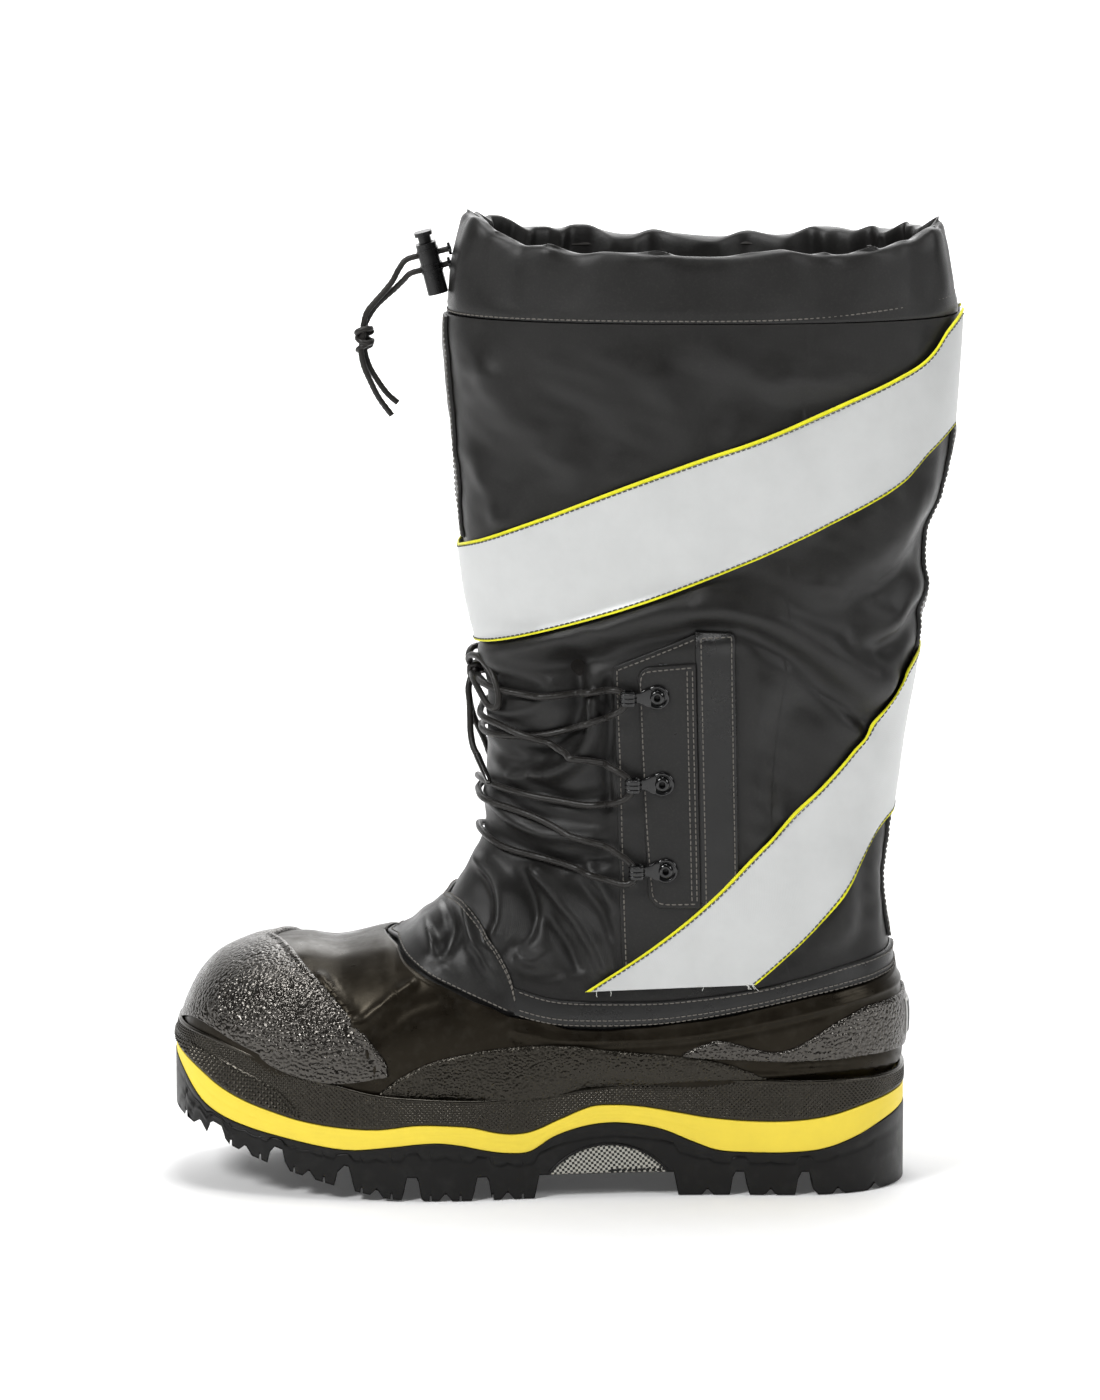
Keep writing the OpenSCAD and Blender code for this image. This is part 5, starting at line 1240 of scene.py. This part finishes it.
# ---------------------------------------------------------------- the shaft
def make_quarters():
    """The shaft's two halves, tucked behind the shell's edge and open along it."""
    vamp = np.array(VAMP_EDGE, float) + [7, -16]
    drop = np.array(COLLAR_EDGE[1:], float) + [0, -22]
    skirt = located(np.concatenate([vamp, drop]))
    skirt = np.array([[0, 0.93]] + [[q[1], q[0]] for q in skirt if 20 < q[1] < 176]
        + [[180, float(locate(144, 71)[0])]])
    edge = np.array([[0, 0.985]] + [[q[1], q[0]] for q in SHELL_LOC if 20 < q[1] < 176]
        + [[180, SHELL_END_T]])
    cols, skirt_rows, low, rows = 240, 13, 70, 210
    a = mix(0.02, 179.98, np.linspace(0, 1, cols))
    top = float(level_t(HEM_Z))
    e = curve(edge, a) + 0.02
    level = float(e.max()) + 0.15
    tucked = np.linspace(0, 1, skirt_rows + 1)[:-1, None]
    t = np.concatenate([mix(curve(skirt, a)[None], e[None], tucked),
        mix(e[None], level, np.linspace(0, 1, low)[:-1, None]),
        mix(level, top, np.linspace(0, 1, rows - low + 1))[:, None] + 0 * a[None]])
    inset = np.concatenate([np.full(skirt_rows, 1.2), [0.6], np.zeros(rows - 1)])[:, None]
    for side, name in SIDES:
        outer = cloth(t, side * a[None] + 0 * t, -inset)
        inner = cloth(t, side * a[None] + 0 * t, -inset - QUARTER_T)
        ob = skin("shaft_quarter_" + name, outer, inner, M["shaft"], "shaft_fabric",
            ["quarter_" + name], smooth_by=70)
        base = form(t, side * a[None] + 0 * t, -inset)


def quad_piece(name, corners, side, node, mat, slot, d, radius, nu, nv, crown=0.0):
    q = rounded_quad(corners, side, nu, nv, radius)
    return patch(name, q, d, d + PATCH_T, mat, slot, [node], roll=0.7, crown=crown)


def inside_line(corners, side, inset, start, end, lift):
    """Stitches parallel to the edge of a quad from corner start to corner end."""
    c = np.asarray(corners, float)
    mid = c.mean(0)
    a, b = c[start], c[end]
    way = unit(b - a)
    nrm = np.array([-way[1], way[0]])
    nrm = nrm * np.sign((mid - a) @ nrm)
    line = [a + nrm * inset + way * 1.4, b + nrm * inset - way * 1.4]
    sew_side([line[0], mix(line[0], line[1], 0.33), mix(line[0], line[1], 0.67), line[1]],
        side, lift)


def make_patches():
    low = np.array(VAMP_EDGE[::-1], float) + [1, 1.5]
    high = np.array([[-21, 84], [-24, 97], [-33, 113], [-40, 121.5], [-46, 124.2], [-52, 125]])
    u, v = np.linspace(0, 1, 220), spaced(90, 0.02)
    q = wrap_strip(low, high, 0, u, v)
    patch("vamp_tab_patch", q, 0.6, 1.8, "patch", "patch_fabric", ["vamp_tab"], roll=0.8)
    for inset in (0.045, 0.10):
        line = inset_line(q, np.linspace(0.02, 0.98, 400), np.full(400, 1 - inset))
        sew_on(line, 1.82)
    line = inset_line(q, np.linspace(0.04, 0.96, 400), np.full(400, 0.05))
    sew_on(line, 1.82)
    low = np.array(COLLAR_EDGE, float) + [0, 1]
    q = wrap_strip(low, BINDING_EDGE, 180, np.linspace(0, 1, 420), spaced(30, 0.06))

    patch("edge_binding", q, 0.45, 1.65, "webbing", "patch_fabric", ["shell_binding"],
        roll=0.9, crown=0.35)
    for w in (0.13, 0.30, 0.84):
        line = inset_line(q, np.linspace(0.01, 0.99, 700), np.full(700, w))
        sew_on(line, 2.0, width=0.27)
    for name, start, rows, middle, half, cols, seam, n in (
            ("front", level_t(279), spaced(90, 0.03), 0, 9, 18, 7.4, 300),
            ("back", locate(144, 104)[0], spaced(220, 0.01), 180, 7, 16, 5.6, 600)):
        t = mix(float(start), float(level_t(HEM_Z - 1)), rows)
        q = np.stack(np.broadcast_arrays(t[:, None],
            middle + mix(-half, half, spaced(cols, 0.1))[None]), -1)
        patch(name + "_seam_strip", q, PATCH_IN, PATCH_IN + PATCH_T, "patch", "patch_fabric",
            [name + "_strip"])
        for a in (-seam, seam):
            sew_on(np.stack([np.linspace(t[0], t[-1], n), np.full(n, middle + a)], -1), 1.5)
    wide_strip = [[54.6, 244.5], STRIP_CORNERS[1], STRIP_CORNERS[2], [57.2, 110]]
    for side, name in SIDES:
        quad_piece("ankle_patch_" + name, ANKLE_CORNERS, side, "ankle_panel_" + name, "patch",
            "patch_fabric", PATCH_IN, (1.5, 1, 1, 1), 44, 130)
        quad_piece("padded_strip_" + name, wide_strip, side, "ankle_strip_" + name,
            "webbing", "webbing", PATCH_IN, (1, 2.5, 2, 1), 34, 130, crown=0.8)
        quad_piece("lace_stay_patch_" + name, STAY_CORNERS, side, "lace_stay_" + name, "patch",
            "patch_fabric", STAY_IN, (5.5, 1, 1, 6.5), 36, 110)
        for corners, inset, start, end, lift in (
                (ANKLE_CORNERS, 2.0, 0, 3, 1.5), (ANKLE_CORNERS, 2.2, 0, 1, 1.5),
                (STRIP_CORNERS, 1.8, 1, 2, 2.0), (STRIP_CORNERS, 1.4, 0, 3, 1.95),
                (STRIP_CORNERS, 1.6, 0, 1, 2.0)):
            inside_line(corners, side, inset, start, end, lift)
        for line in STAY_SEAMS:
            sew_side(line, side, STAY_IN + PATCH_T)


def make_bands():
    """Reflective tapes with their bright edgings and two seams each."""
    for name, low, high, centre in (
            ("upper", UPPER_BAND_BOTTOM, UPPER_BAND_TOP, 0),
            ("lower", LOWER_BAND_BOTTOM, LOWER_BAND_TOP, 180)):
        u = np.linspace(0, 1, 420)
        q = wrap_strip(low, high, centre, u, spaced(56, 0.02))
        patch("reflective_tape_" + name, q, TAPE_IN, TAPE_IN + TAPE_T, "tape",
            "reflective_tape", ["reflective_band_" + name], roll=0.4)
        for i, (v0, v1) in enumerate(((-0.022, -0.001), (1.002, 1.036))):
            e = wrap_strip(low, high, centre, u, mix(v0, v1, spaced(7, 0.12)))
            nodes = ["band_edging_" + name] if i == 0 else []
            patch("piping_%s_%d" % (name, i), e, TAPE_IN - 0.1, TAPE_IN + TAPE_T + 0.15, "edging",
                "bright_edging", nodes, roll=0.8)
        for w in (0.035, 0.965):
            line = inset_line(q, np.linspace(0.004, 0.996, 900), np.full(900, w))
            sew_on(line, TAPE_IN + TAPE_T, width=0.26, kind="thread_grey")


# ---------------------------------------------------------------- lacing
def frame_at(x, z, d, side):
    """Origin and axes of a place on the shaft: forward, up and out."""
    at = side_points(x, z, side, d, cloth)
    dx = side_points(x + 2, z, side, d, form) - side_points(x - 2, z, side, d, form)
    dz = side_points(x, z + 2, side, d, form) - side_points(x, z - 2, side, d, form)
    n = unit(np.cross(dx, dz))
    n = n * np.sign(n[1] * -side)
    ex = np.array([-1.0, 0, 0])
    ex = unit(ex - n * (n @ ex))
    return at, ex, np.cross(n, ex), n


def lathe(profile, at, ex, ey, ez, sides=40):
    """Points of a profile of radius and height turned about ez."""
    pr = np.asarray(profile, float)
    a = np.linspace(0, 2 * np.pi, sides, endpoint=False)[None, :, None]
    return (at + pr[:, None, 0, None] * (np.cos(a) * ex + np.sin(a) * ey)
        + pr[:, None, 1, None] * ez)


def ring_mesh(p):
    """A closed turned part as points, quads and triangles: its rows meet again."""
    n, m = p.shape[:2]
    idx = np.arange(n * m).reshape(n, m)
    idx = np.concatenate([idx, idx[:, :1]], 1)
    idx = np.concatenate([idx, idx[:1]], 0)
    return p.reshape(-1, 3), grid_quads(idx), np.zeros((0, 3), int)


def gather(parts):
    """parts: (points, faces) lists joined to one mesh; each made outward first."""
    verts, quads, tris, base = [], [], [], 0
    for p, q, t in parts:
        q, t = outward(p, q, t)
        verts.append(p)
        quads.append(q + base)
        tris.append(t + base)
        base += len(p)
    return np.concatenate(verts), (np.concatenate(quads), np.concatenate(tris))


def box_loft(path, half_w, half_t, wide, thick, corner=0.35):
    """A bar of rounded-rectangle section along a path, with its axes wide and thick."""
    a = np.linspace(0, 2 * np.pi, 20, endpoint=False)
    cx = np.sign(np.cos(a)) * np.abs(np.cos(a)) ** corner
    cy = np.sign(np.sin(a)) * np.abs(np.sin(a)) ** corner
    half_w, half_t = (h + np.zeros(len(path)) for h in (half_w, half_t))
    p = (path[:, None] + (half_w[:, None] * cx[None])[..., None] * wide[:, None]
        + (half_t[:, None] * cy[None])[..., None] * thick[:, None])
    v, f = join_tubes([p])
    return v, f[0], f[1]


HARDWARE_IN, NECK_N, STRAP_N = 3.3, 26, 61


def make_loops():
    """Lace loops: a washer, a neck and a square loop on each stay, with a rivet head."""
    prof = [(1.9, 0.0), (5.0, 0.0), (5.25, 0.25), (5.25, 0.75), (5.0, 1.15), (4.55, 1.3),
        (4.1, 1.1), (3.7, 0.8), (2.9, 0.75), (1.9, 0.75)]
    head = [(0.95, 0.4), (2.1, 0.55), (3.0, 0.85), (3.05, 1.3), (2.6, 1.85), (1.95, 2.1),
        (1.35, 1.9), (1.05, 1.2)]
    for side, name in SIDES:
        parts, rivet_parts = [], []
        for x, z in LOOP_PLACES:
            at, ex, ey, ez = frame_at(x, z, HARDWARE_IN, side)
            p = lathe(prof, at, ex, ey, ez)
            parts.append(ring_mesh(p))
            # the pear-shaped neck, rising a little toward the loop
            s = np.linspace(0, 1, NECK_N)
            path = at + ex * (2.6 + 8.6 * s)[:, None] + ez * (0.75 + 0.35 * s)[:, None]
            w = mix(4.2, 2.3, smooth(0.05, 0.62, s)) + 0.5 * smooth(0.8, 1, s)
            parts.append(box_loft(path, w, 0.6, np.tile(ey, (NECK_N, 1)),
                np.tile(ez, (NECK_N, 1))))
            # the square loop that holds the lace: a strap bent round it
            a = np.linspace(-0.5 * np.pi, 1.5 * np.pi, STRAP_N)
            r = (np.abs(np.cos(a)) ** 3.2 + np.abs(np.sin(a)) ** 3.2) ** (-1 / 3.2)
            cx, cz = 12.2 + 2.75 * r * np.cos(a), 2.75 + 2.45 * r * np.sin(a)
            path = at + ex * cx[:, None] + ez * cz[:, None]
            way = unit(np.gradient(path, axis=0))
            wide = np.tile(ey, (STRAP_N, 1))
            parts.append(box_loft(path, 3.1, 0.48 + 0.07 * np.cos(a * 8), wide,
                np.cross(way, wide)))
            for k in (-1.9, 0, 1.9):
                rib = path[18:48] + ey * k + np.cross(way, wide)[18:48] * -0.5
                v_, f_ = join_tubes([tube_points(rib, 0.42, 8)])
                parts.append((v_, f_[0], f_[1]))
            p = lathe(head, at, ex, ey, ez, 36)
            rivet_parts.append(ring_mesh(p))
        v, f = gather(parts)
        add_mesh("loop_hardware_" + name, v, f, M["hardware"], "black_hardware",
            ["lace_loops_" + name], smooth_by=45)
        v, f = gather(rivet_parts)
        add_mesh("rivet_heads_" + name, v, f, M["hardware"], "rivet_metal",
            ["rivets"], smooth_by=45)


LACE_LIFT, LACE_OVER, LOOP_LIFT = 2.6, 5.8, 5.9


def lace_route():
    """Stops of the lace: x, z, side, and how far its middle stands off the fabric."""
    li, ov, lo = LACE_LIFT, LACE_OVER, LOOP_LIFT
    return [
        [-36, 219, 0, 4.2], [-24, 216, 1, li], [-8, 215, 1, li], [12, 218, 1, 3.2],
        [24, 219.5, 1, lo], [27, 215, 1, lo], [24, 210, 1, lo], [10, 204, 1, 3.2],
        [-9, 198, 1, 2.4], [-26, 196, 1, li], [-34, 196.5, 0, li], [-26, 194, -1, li],
        [-9, 190, -1, li], [12, 186, -1, 3.2], [25, 184, -1, lo], [29.5, 178, -1, lo],
        [26, 172.5, -1, lo], [12, 171, -1, 3.2], [-10, 170, -1, 2.4], [-27, 169.5, -1, 2.3],
        [-36, 169, 0, 2.3], [-26, 166, 1, li], [-10, 162, 1, li], [10, 155, 1, 3.2],
        [26, 147.5, 1, lo], [31, 140.5, 1, lo], [27, 135.5, 1, lo], [12, 139, 1, 3.2],
        [-8, 144.5, 1, li], [-26, 147.5, 1, li], [-38, 152, 0, li], [-26, 147.5, -1, li],
        [-8, 144.5, -1, li], [12, 139, -1, 3.2], [27, 135.5, -1, lo], [31, 140.5, -1, lo],
        [26, 147.5, -1, lo], [10, 154, -1, 3.2], [-10, 161, -1, li], [-26, 167, -1, ov],
        [-36, 174, 0, 3.5], [-22, 172.5, 1, li], [-7, 170.5, 1, li], [12, 169, 1, 3.2],
        [26, 172, 1, lo], [29.5, 178, 1, lo], [25, 184, 1, lo], [10, 189.5, 1, 3.2],
        [-9, 196, 1, ov], [-26, 202, 1, 3.2], [-34, 205, 0, li], [-26, 206, -1, li],
        [-8, 206.5, -1, li], [12, 208, -1, 3.2], [24, 210, -1, lo], [27, 215, -1, lo],
        [24, 219.5, -1, lo], [12, 218, -1, 3.2], [-8, 215, -1, li], [-24, 216, -1, li],
        [-36, 219, 0, 4.2]]


def make_lace():
    """The lace through all loops; on the middle line it follows the instep."""
    q = []
    for x, z, side, lift in lace_route():
        t, a = locate(x, z)
        if side == 0:
            t = level_t(z) if z >= HINGE_Z else 1 + np.degrees(
                np.arccos((HINGE_Z - z) / float(curve(INSTEP, 84)))) / 90
        q.append([float(t), float(side * a), lift])
    p = along(q, np.linspace(0, 1, 2600))
    path = cloth(p[:, 0], p[:, 1], p[:, 2])
    path = resample(path, 0.5)
    v, f = join_tubes([tube_points(path, LACE_D / 2 * 1.05, 16, braid=0.12, pitch=5.2)])
    add_mesh("criss_cross_lace", v, f, M["lace"], "lace", ["boot_lace"], smooth_by=75)


# ---------------------------------------------------------------- collar and inner boot
def rim(a):
    c = np.cos(np.radians(a))
    return RIM_Z + RIM_FRONT * np.maximum(c, 0) ** 3 + RIM_BACK * np.maximum(-c, 0) ** 3


def seam_z(a):
    """The height of the collar's lower seam, which rises toward the back."""
    return HEM_Z + 1.4 + 8.0 * np.maximum(-np.cos(np.radians(a)), 0) ** 2


def make_collar():
    """The gathered collar: a hemmed tube of cloth that turns over inside the shaft."""
    hem_d, wall = 7.1, 1.3
    outline = [[0.4, -1.0, 0], [0, -16, 1], [0, -4, 1], [-0.9, -1, 1], [-2.2, 0, 1],
        [-4.8, 0, 1], [-6.2, -1, 1], [-hem_d, -4, 1], [-hem_d, -16, 1], [-hem_d, -3, 0],
        [-hem_d + wall, -3, 0], [-hem_d + wall, -16, 1], [-hem_d + wall, -4, 1],
        [-4.6, -wall - 0.8, 1], [-2.4, -wall - 0.8, 1], [-wall, -4, 1], [-wall, -16, 1],
        [-wall, 0.4, 0]]
    n = 720
    a = np.arange(n) * 360.0 / n
    top = rim(a)
    rows = []
    cuts = [6, 5, 3, 3, 4, 3, 3, 6, 8, 2, 8, 6, 3, 3, 3, 6, 6, 2]
    for i, cut in enumerate(cuts):
        (d0, z0, rim0), (d1, z1, rim1) = outline[i], outline[(i + 1) % len(outline)]
        z0, z1 = z0 + (top if rim0 else HEM_Z), z1 + (top if rim1 else HEM_Z)
        for s in np.arange(cut) / cut:
            rows.append([np.full(n, mix(d0, d1, s)), mix(z0, z1, s) + np.zeros(n)])
    d, z = np.array(rows).transpose(1, 0, 2)
    for _ in range(3):
        d = (np.roll(d, 1, 0) + 2 * d + np.roll(d, -1, 0)) / 4
        z = (np.roll(z, 1, 0) + 2 * z + np.roll(z, -1, 0)) / 4
    rad = np.radians(a)
    pleats = np.zeros(n)
    for k, (freq, amp) in enumerate(((19, 0.95), (27, 0.75), (14, 0.6), (47, 0.25))):
        pleats += amp * np.sin(freq * rad + RNG.uniform(0, 6.28) + 1.8 * np.sin(3 * rad + k))
    swing = np.zeros(n)
    for freq, amp in ((5, 0.5), (8, 0.5), (13, 0.45), (21, 0.3)):
        swing += amp * np.sin(freq * rad + RNG.uniform(0, 6.28))
    up = smooth(HEM_Z + 2, HEM_Z + 24, z)
    inside = smooth(-2.0, -5.0, d)
    crest = smooth(-6.5, -1.0, z - top)
    d = d + pleats * up * mix(0.10 + 0.35 * crest, 1.7, inside)
    d = d + swing * 0.95 * smooth(HEM_Z, HEM_Z + 14, z)
    level = np.clip((z - (top - 16)) / 16, 0, 1)
    z = z + (swing * 1.5 + pleats * mix(0.15, 1.0, inside)) * smooth(0.2, 1.0, level)
    d = d - 0.5 * np.exp(-((z - seam_z(a)) / 0.9) ** 2) * (1 - inside)
    d = np.clip(d, -9.4, 1.8)
    p = form(level_t(z), a[None] + 0 * z, d)
    v, f = gather([ring_mesh(p)])
    along_v = np.cumsum(np.linalg.norm(np.diff(p[:, 0], axis=0, prepend=p[:1, 0]), axis=-1))
    uv = np.stack(np.broadcast_arrays(a[None], along_v[:, None]), -1).reshape(-1, 2)
    ob = add_mesh("gathered_collar", v, f, M["collar"], "collar_fabric",
        ["snow_collar"], uv=uv, smooth_by=80)
    around = float(np.linalg.norm(np.diff(form(level_t(HEM_Z + 10), np.append(a, 0)), axis=0),
        axis=-1).sum())
    aa = np.linspace(0, 360, 2000)
    i = (aa / 360 * n).astype(int) % n
    zz = seam_z(aa)
    lift = swing[i] * 0.95 * smooth(HEM_Z, HEM_Z + 14, zz) - 0.30
    low, high = form(level_t(zz), aa, lift), form(level_t(zz), aa, lift + 1)
    sew(low, high - low, length=1.9)


def make_inner_boot():
    """The felt boot with its bound cuff, its pull loop and its footbed."""
    n_low, n_up, cols = 70, 90, 150
    t = np.concatenate([np.linspace(0, 1, n_low) ** 1.2 * 0.95,
        mix(0.95, float(level_t(LINER_TOP)), np.linspace(0, 1, n_up)[1:])])
    a = np.arange(cols) * 360.0 / cols
    tt, aa = np.broadcast_arrays(t[:, None], a[None])
    p = form(tt, aa)
    soft = waves(p, 26, 0.55, 4, 6)
    outer = form(tt, aa, LINER_OUT - 0.1)
    inner = form(tt, aa, LINER_OUT - LINER_T + soft)
    ob = skin("felt_inner_boot", outer, inner, M["felt"], "felt", ["inner_boot"], wrap=True,
        pole=True, smooth_by=80)
    n, m = 240, 28
    u = np.arange(n) * 360.0 / n
    s = np.radians(np.arange(m) * 360.0 / m)
    lump = 0.25 * np.sin(np.radians(u) * 31) + 0.2 * np.sin(np.radians(u) * 17 + 1)
    c, k = np.cos(s)[:, None], np.sin(s)[:, None]
    gap, half_low, half_high = 0.4, 1.9, 2.3
    z = LINER_TOP + gap + half_low + half_high * k + lump[None] * 0.5
    d = LINER_OUT - LINER_T / 2 + (LINER_T / 2 - 0.35) * c
    p = form(level_t(z), u[None] + 0 * z, d + 0 * z)
    v, f = gather([ring_mesh(p)])
    ob = add_mesh("inner_boot_binding", v, f, M["cuff"], "cuff_binding",
        ["inner_boot_cuff"], uv=np.stack([v[:, 0], v[:, 2]], -1), smooth_by=80)
    d = LINER_OUT - LINER_T - 2
    pts = [[9, 356], [9.2, 370], [9.5, 386], [14, 395], [18.5, 386], [18.8, 370], [19, 356]]
    route = np.array([side_points(x, z, MEDIAL, d) for x, z in pts])
    path = along(route, np.linspace(0, 1, 90))
    way = unit(np.gradient(path, axis=0))
    wide = np.tile([0.0, 1.0, 0.0], (90, 1))
    wide = unit(wide - way * (way * wide).sum(-1, keepdims=True))
    v, f = gather([box_loft(path, 3.2, 0.85, wide, np.cross(way, wide))])
    add_mesh("pull_loop_webbing", v, f, M["cuff"], "cuff_binding",
        ["inner_boot_pull_loop"], uv=v[:, [1, 2]], smooth_by=70)
    u, v = spaced(110, 0.02), spaced(40, 0.05)
    tt = mix(0.22, 1.58, u)[:, None] + 0 * v[None]
    aa = 180 + mix(-27, 27, v)[None] + 0 * tt
    dout = LINER_OUT - LINER_T - 2.4
    top = form(tt, aa, dout - 4 - 0.5 * np.sin(np.pi * v[None]) + 0 * tt)
    low = form(tt, aa, dout)
    ob = skin("moulded_footbed", top, low, M["foam"], "footbed_foam", ["footbed"],
        smooth_by=70)


# ---------------------------------------------------------------- small things
def make_frays():
    """Loose yarns along the cut front end of the lower band."""
    tubes = []
    a, b = np.array(LOWER_BAND_BOTTOM[0], float), np.array(LOWER_BAND_TOP[0], float)
    for side in (LATERAL, MEDIAL):
        for s in np.concatenate([RNG.uniform(0.0, 0.06, 9), RNG.uniform(0.94, 1.0, 4),
                RNG.uniform(0.1, 0.9, 5)]):
            x, z = mix(a, b, s) + 0.6
            way = np.array([0.3, -0.6]) + RNG.normal(size=2) * 0.7
            length = RNG.uniform(0.8, 2.2)
            pts = []
            for k in np.linspace(0, 1, 6):
                bend = RNG.normal() * 0.18 * k
                at = x + way[0] * length * k + bend, z + way[1] * length * k
                pts.append(side_points(*at, side, TAPE_IN + 0.7 + 0.3 * k, cloth))
            tubes.append(tube_points(np.array(pts), 0.11, 5))
    v, f = join_tubes(tubes)
    add_mesh("tape_frays", v, f, M["fray"], "bright_edging", smooth_by=80)


def make_spring():
    """The cord lock's coil spring, drawn at one length; the real one shortens as the button goes down.
    """
    tilt = math.radians(14)
    ex = np.array([math.cos(tilt), 0, math.sin(tilt)])
    ez = np.array([-math.sin(tilt), 0, math.cos(tilt)])
    middle, low, high, wire = np.array([-57.5, 0, 396.5]), -12.1, -6.45, 0.35
    a = np.linspace(0, 8 * np.pi, 161)[:, None]
    path = (middle + ex * 1.7 * np.cos(a) + np.array([0, 3.2, 0]) * np.sin(a)
        + ez * np.linspace(low, high, 161)[:, None])
    v, f = join_tubes([tube_points(path, wire, 10)])
    ob = add_mesh("lock_coil_spring", v, f, M["steel"], "spring_steel", ["cord_lock_spring"],
        body="cord_lock", smooth_by=60)
    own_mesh(ob)


def dress_cad():
    """Looks for the CAD solids that are shown as they are."""
    looks = {"collar_grommets": "hardware", "drawcord": "lace", "cord_lock_body": "plastic",
        "cord_lock_button": "plastic", "safety_toe_cap": "steel", "puncture_plate": "steel",
        "insole_board": "board"}
    for o in bpy.data.objects:
        node = o.get("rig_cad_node")
        if node in looks:
            o.data.materials.clear()
            o.data.materials.append(M[looks[node]])


def make_stage():
    """A white floor that curves up into a backdrop and glows as painted light, more toward the back;
    four lights and a faint world.
    """
    me = bpy.data.meshes.new("floor")
    ys = np.concatenate([np.linspace(-6, 2.0, 12), 2.0 + 1.5 * np.sin(np.linspace(0, np.pi / 2, 16)),
        np.full(4, 3.5)])
    zs = np.concatenate([np.zeros(12), 1.5 - 1.5 * np.cos(np.linspace(0, np.pi / 2, 16)),
        np.array([2, 3, 4.5, 6])])
    xs = np.array([-7, 7])
    verts = [(x, y, z - 0.0004) for y, z in zip(ys, zs) for x in xs]
    faces = [(2 * i, 2 * i + 1, 2 * i + 3, 2 * i + 2) for i in range(len(ys) - 1)]
    me.from_pydata(verts, [], faces)
    me.polygons.foreach_set("use_smooth", np.ones(len(faces), bool))
    pale = material("pale_floor", (0.88, 0.88, 0.88), 0.8, spec=0.1, mottle=0.01)
    tree, glow = pale.node_tree, shader_of(pale)
    # the floor's own glow is painted light: faint near the boot, stronger up the backdrop so it reads
    # white
    glow.inputs["Emission Color"].default_value = (1, 1, 1, 1)
    place = add_node(tree, "SeparateXYZ", links={0: add_node(tree, "TexCoord").outputs["Object"]})
    far = add_node(tree, "MapRange", {"From Min": 0.0, "From Max": 2.6, "To Min": 0.06,
        "To Max": 0.62}, {"Value": place.outputs["Y"]}, interpolation_type="SMOOTHSTEP")
    tree.links.new(far.outputs["Result"], glow.inputs["Emission Strength"])
    me.materials.append(pale)
    ob = bpy.data.objects.new("floor", me)
    bpy.context.scene.collection.objects.link(ob)
    for name, at, aim, size, power in (
            ("key", (-1.5, -1.5, 2.1), (-0.02, 0, 0.2), 0.9, 52),
            ("fill", (2.0, -1.2, 1.3), (0.02, 0, 0.2), 0.9, 16),
            ("top", (0.1, 0.1, 2.3), (0, 0, 0.2), 0.9, 32),
            ("back", (0.2, 2.2, 1.8), (0, 0.3, 0.1), 2.0, 34)):
        data = bpy.data.lights.new(name, "AREA")
        data.shape, data.size, data.energy = "DISK", size, power
        lo = bpy.data.objects.new(name, data)
        lo.location = at
        lo.rotation_euler = (Vector(at) - Vector(aim)).to_track_quat("Z", "Y").to_euler()
        bpy.context.scene.collection.objects.link(lo)
    world = bpy.data.worlds.new("studio")
    world.use_nodes = True
    bg = world.node_tree.nodes["Background"]
    bg.inputs[0].default_value = (1, 1, 1, 1)
    bg.inputs[1].default_value = 0.07
    bpy.context.scene.world = world
    scene = bpy.context.scene
    scene.view_settings.view_transform = "Standard"


make_sole()
make_shell()
make_panels()
make_quarters()
make_patches()
make_bands()
make_loops()
make_lace()
make_collar()
make_inner_boot()
make_frays()
make_spring()
finish_stitches()
dress_cad()
make_stage()
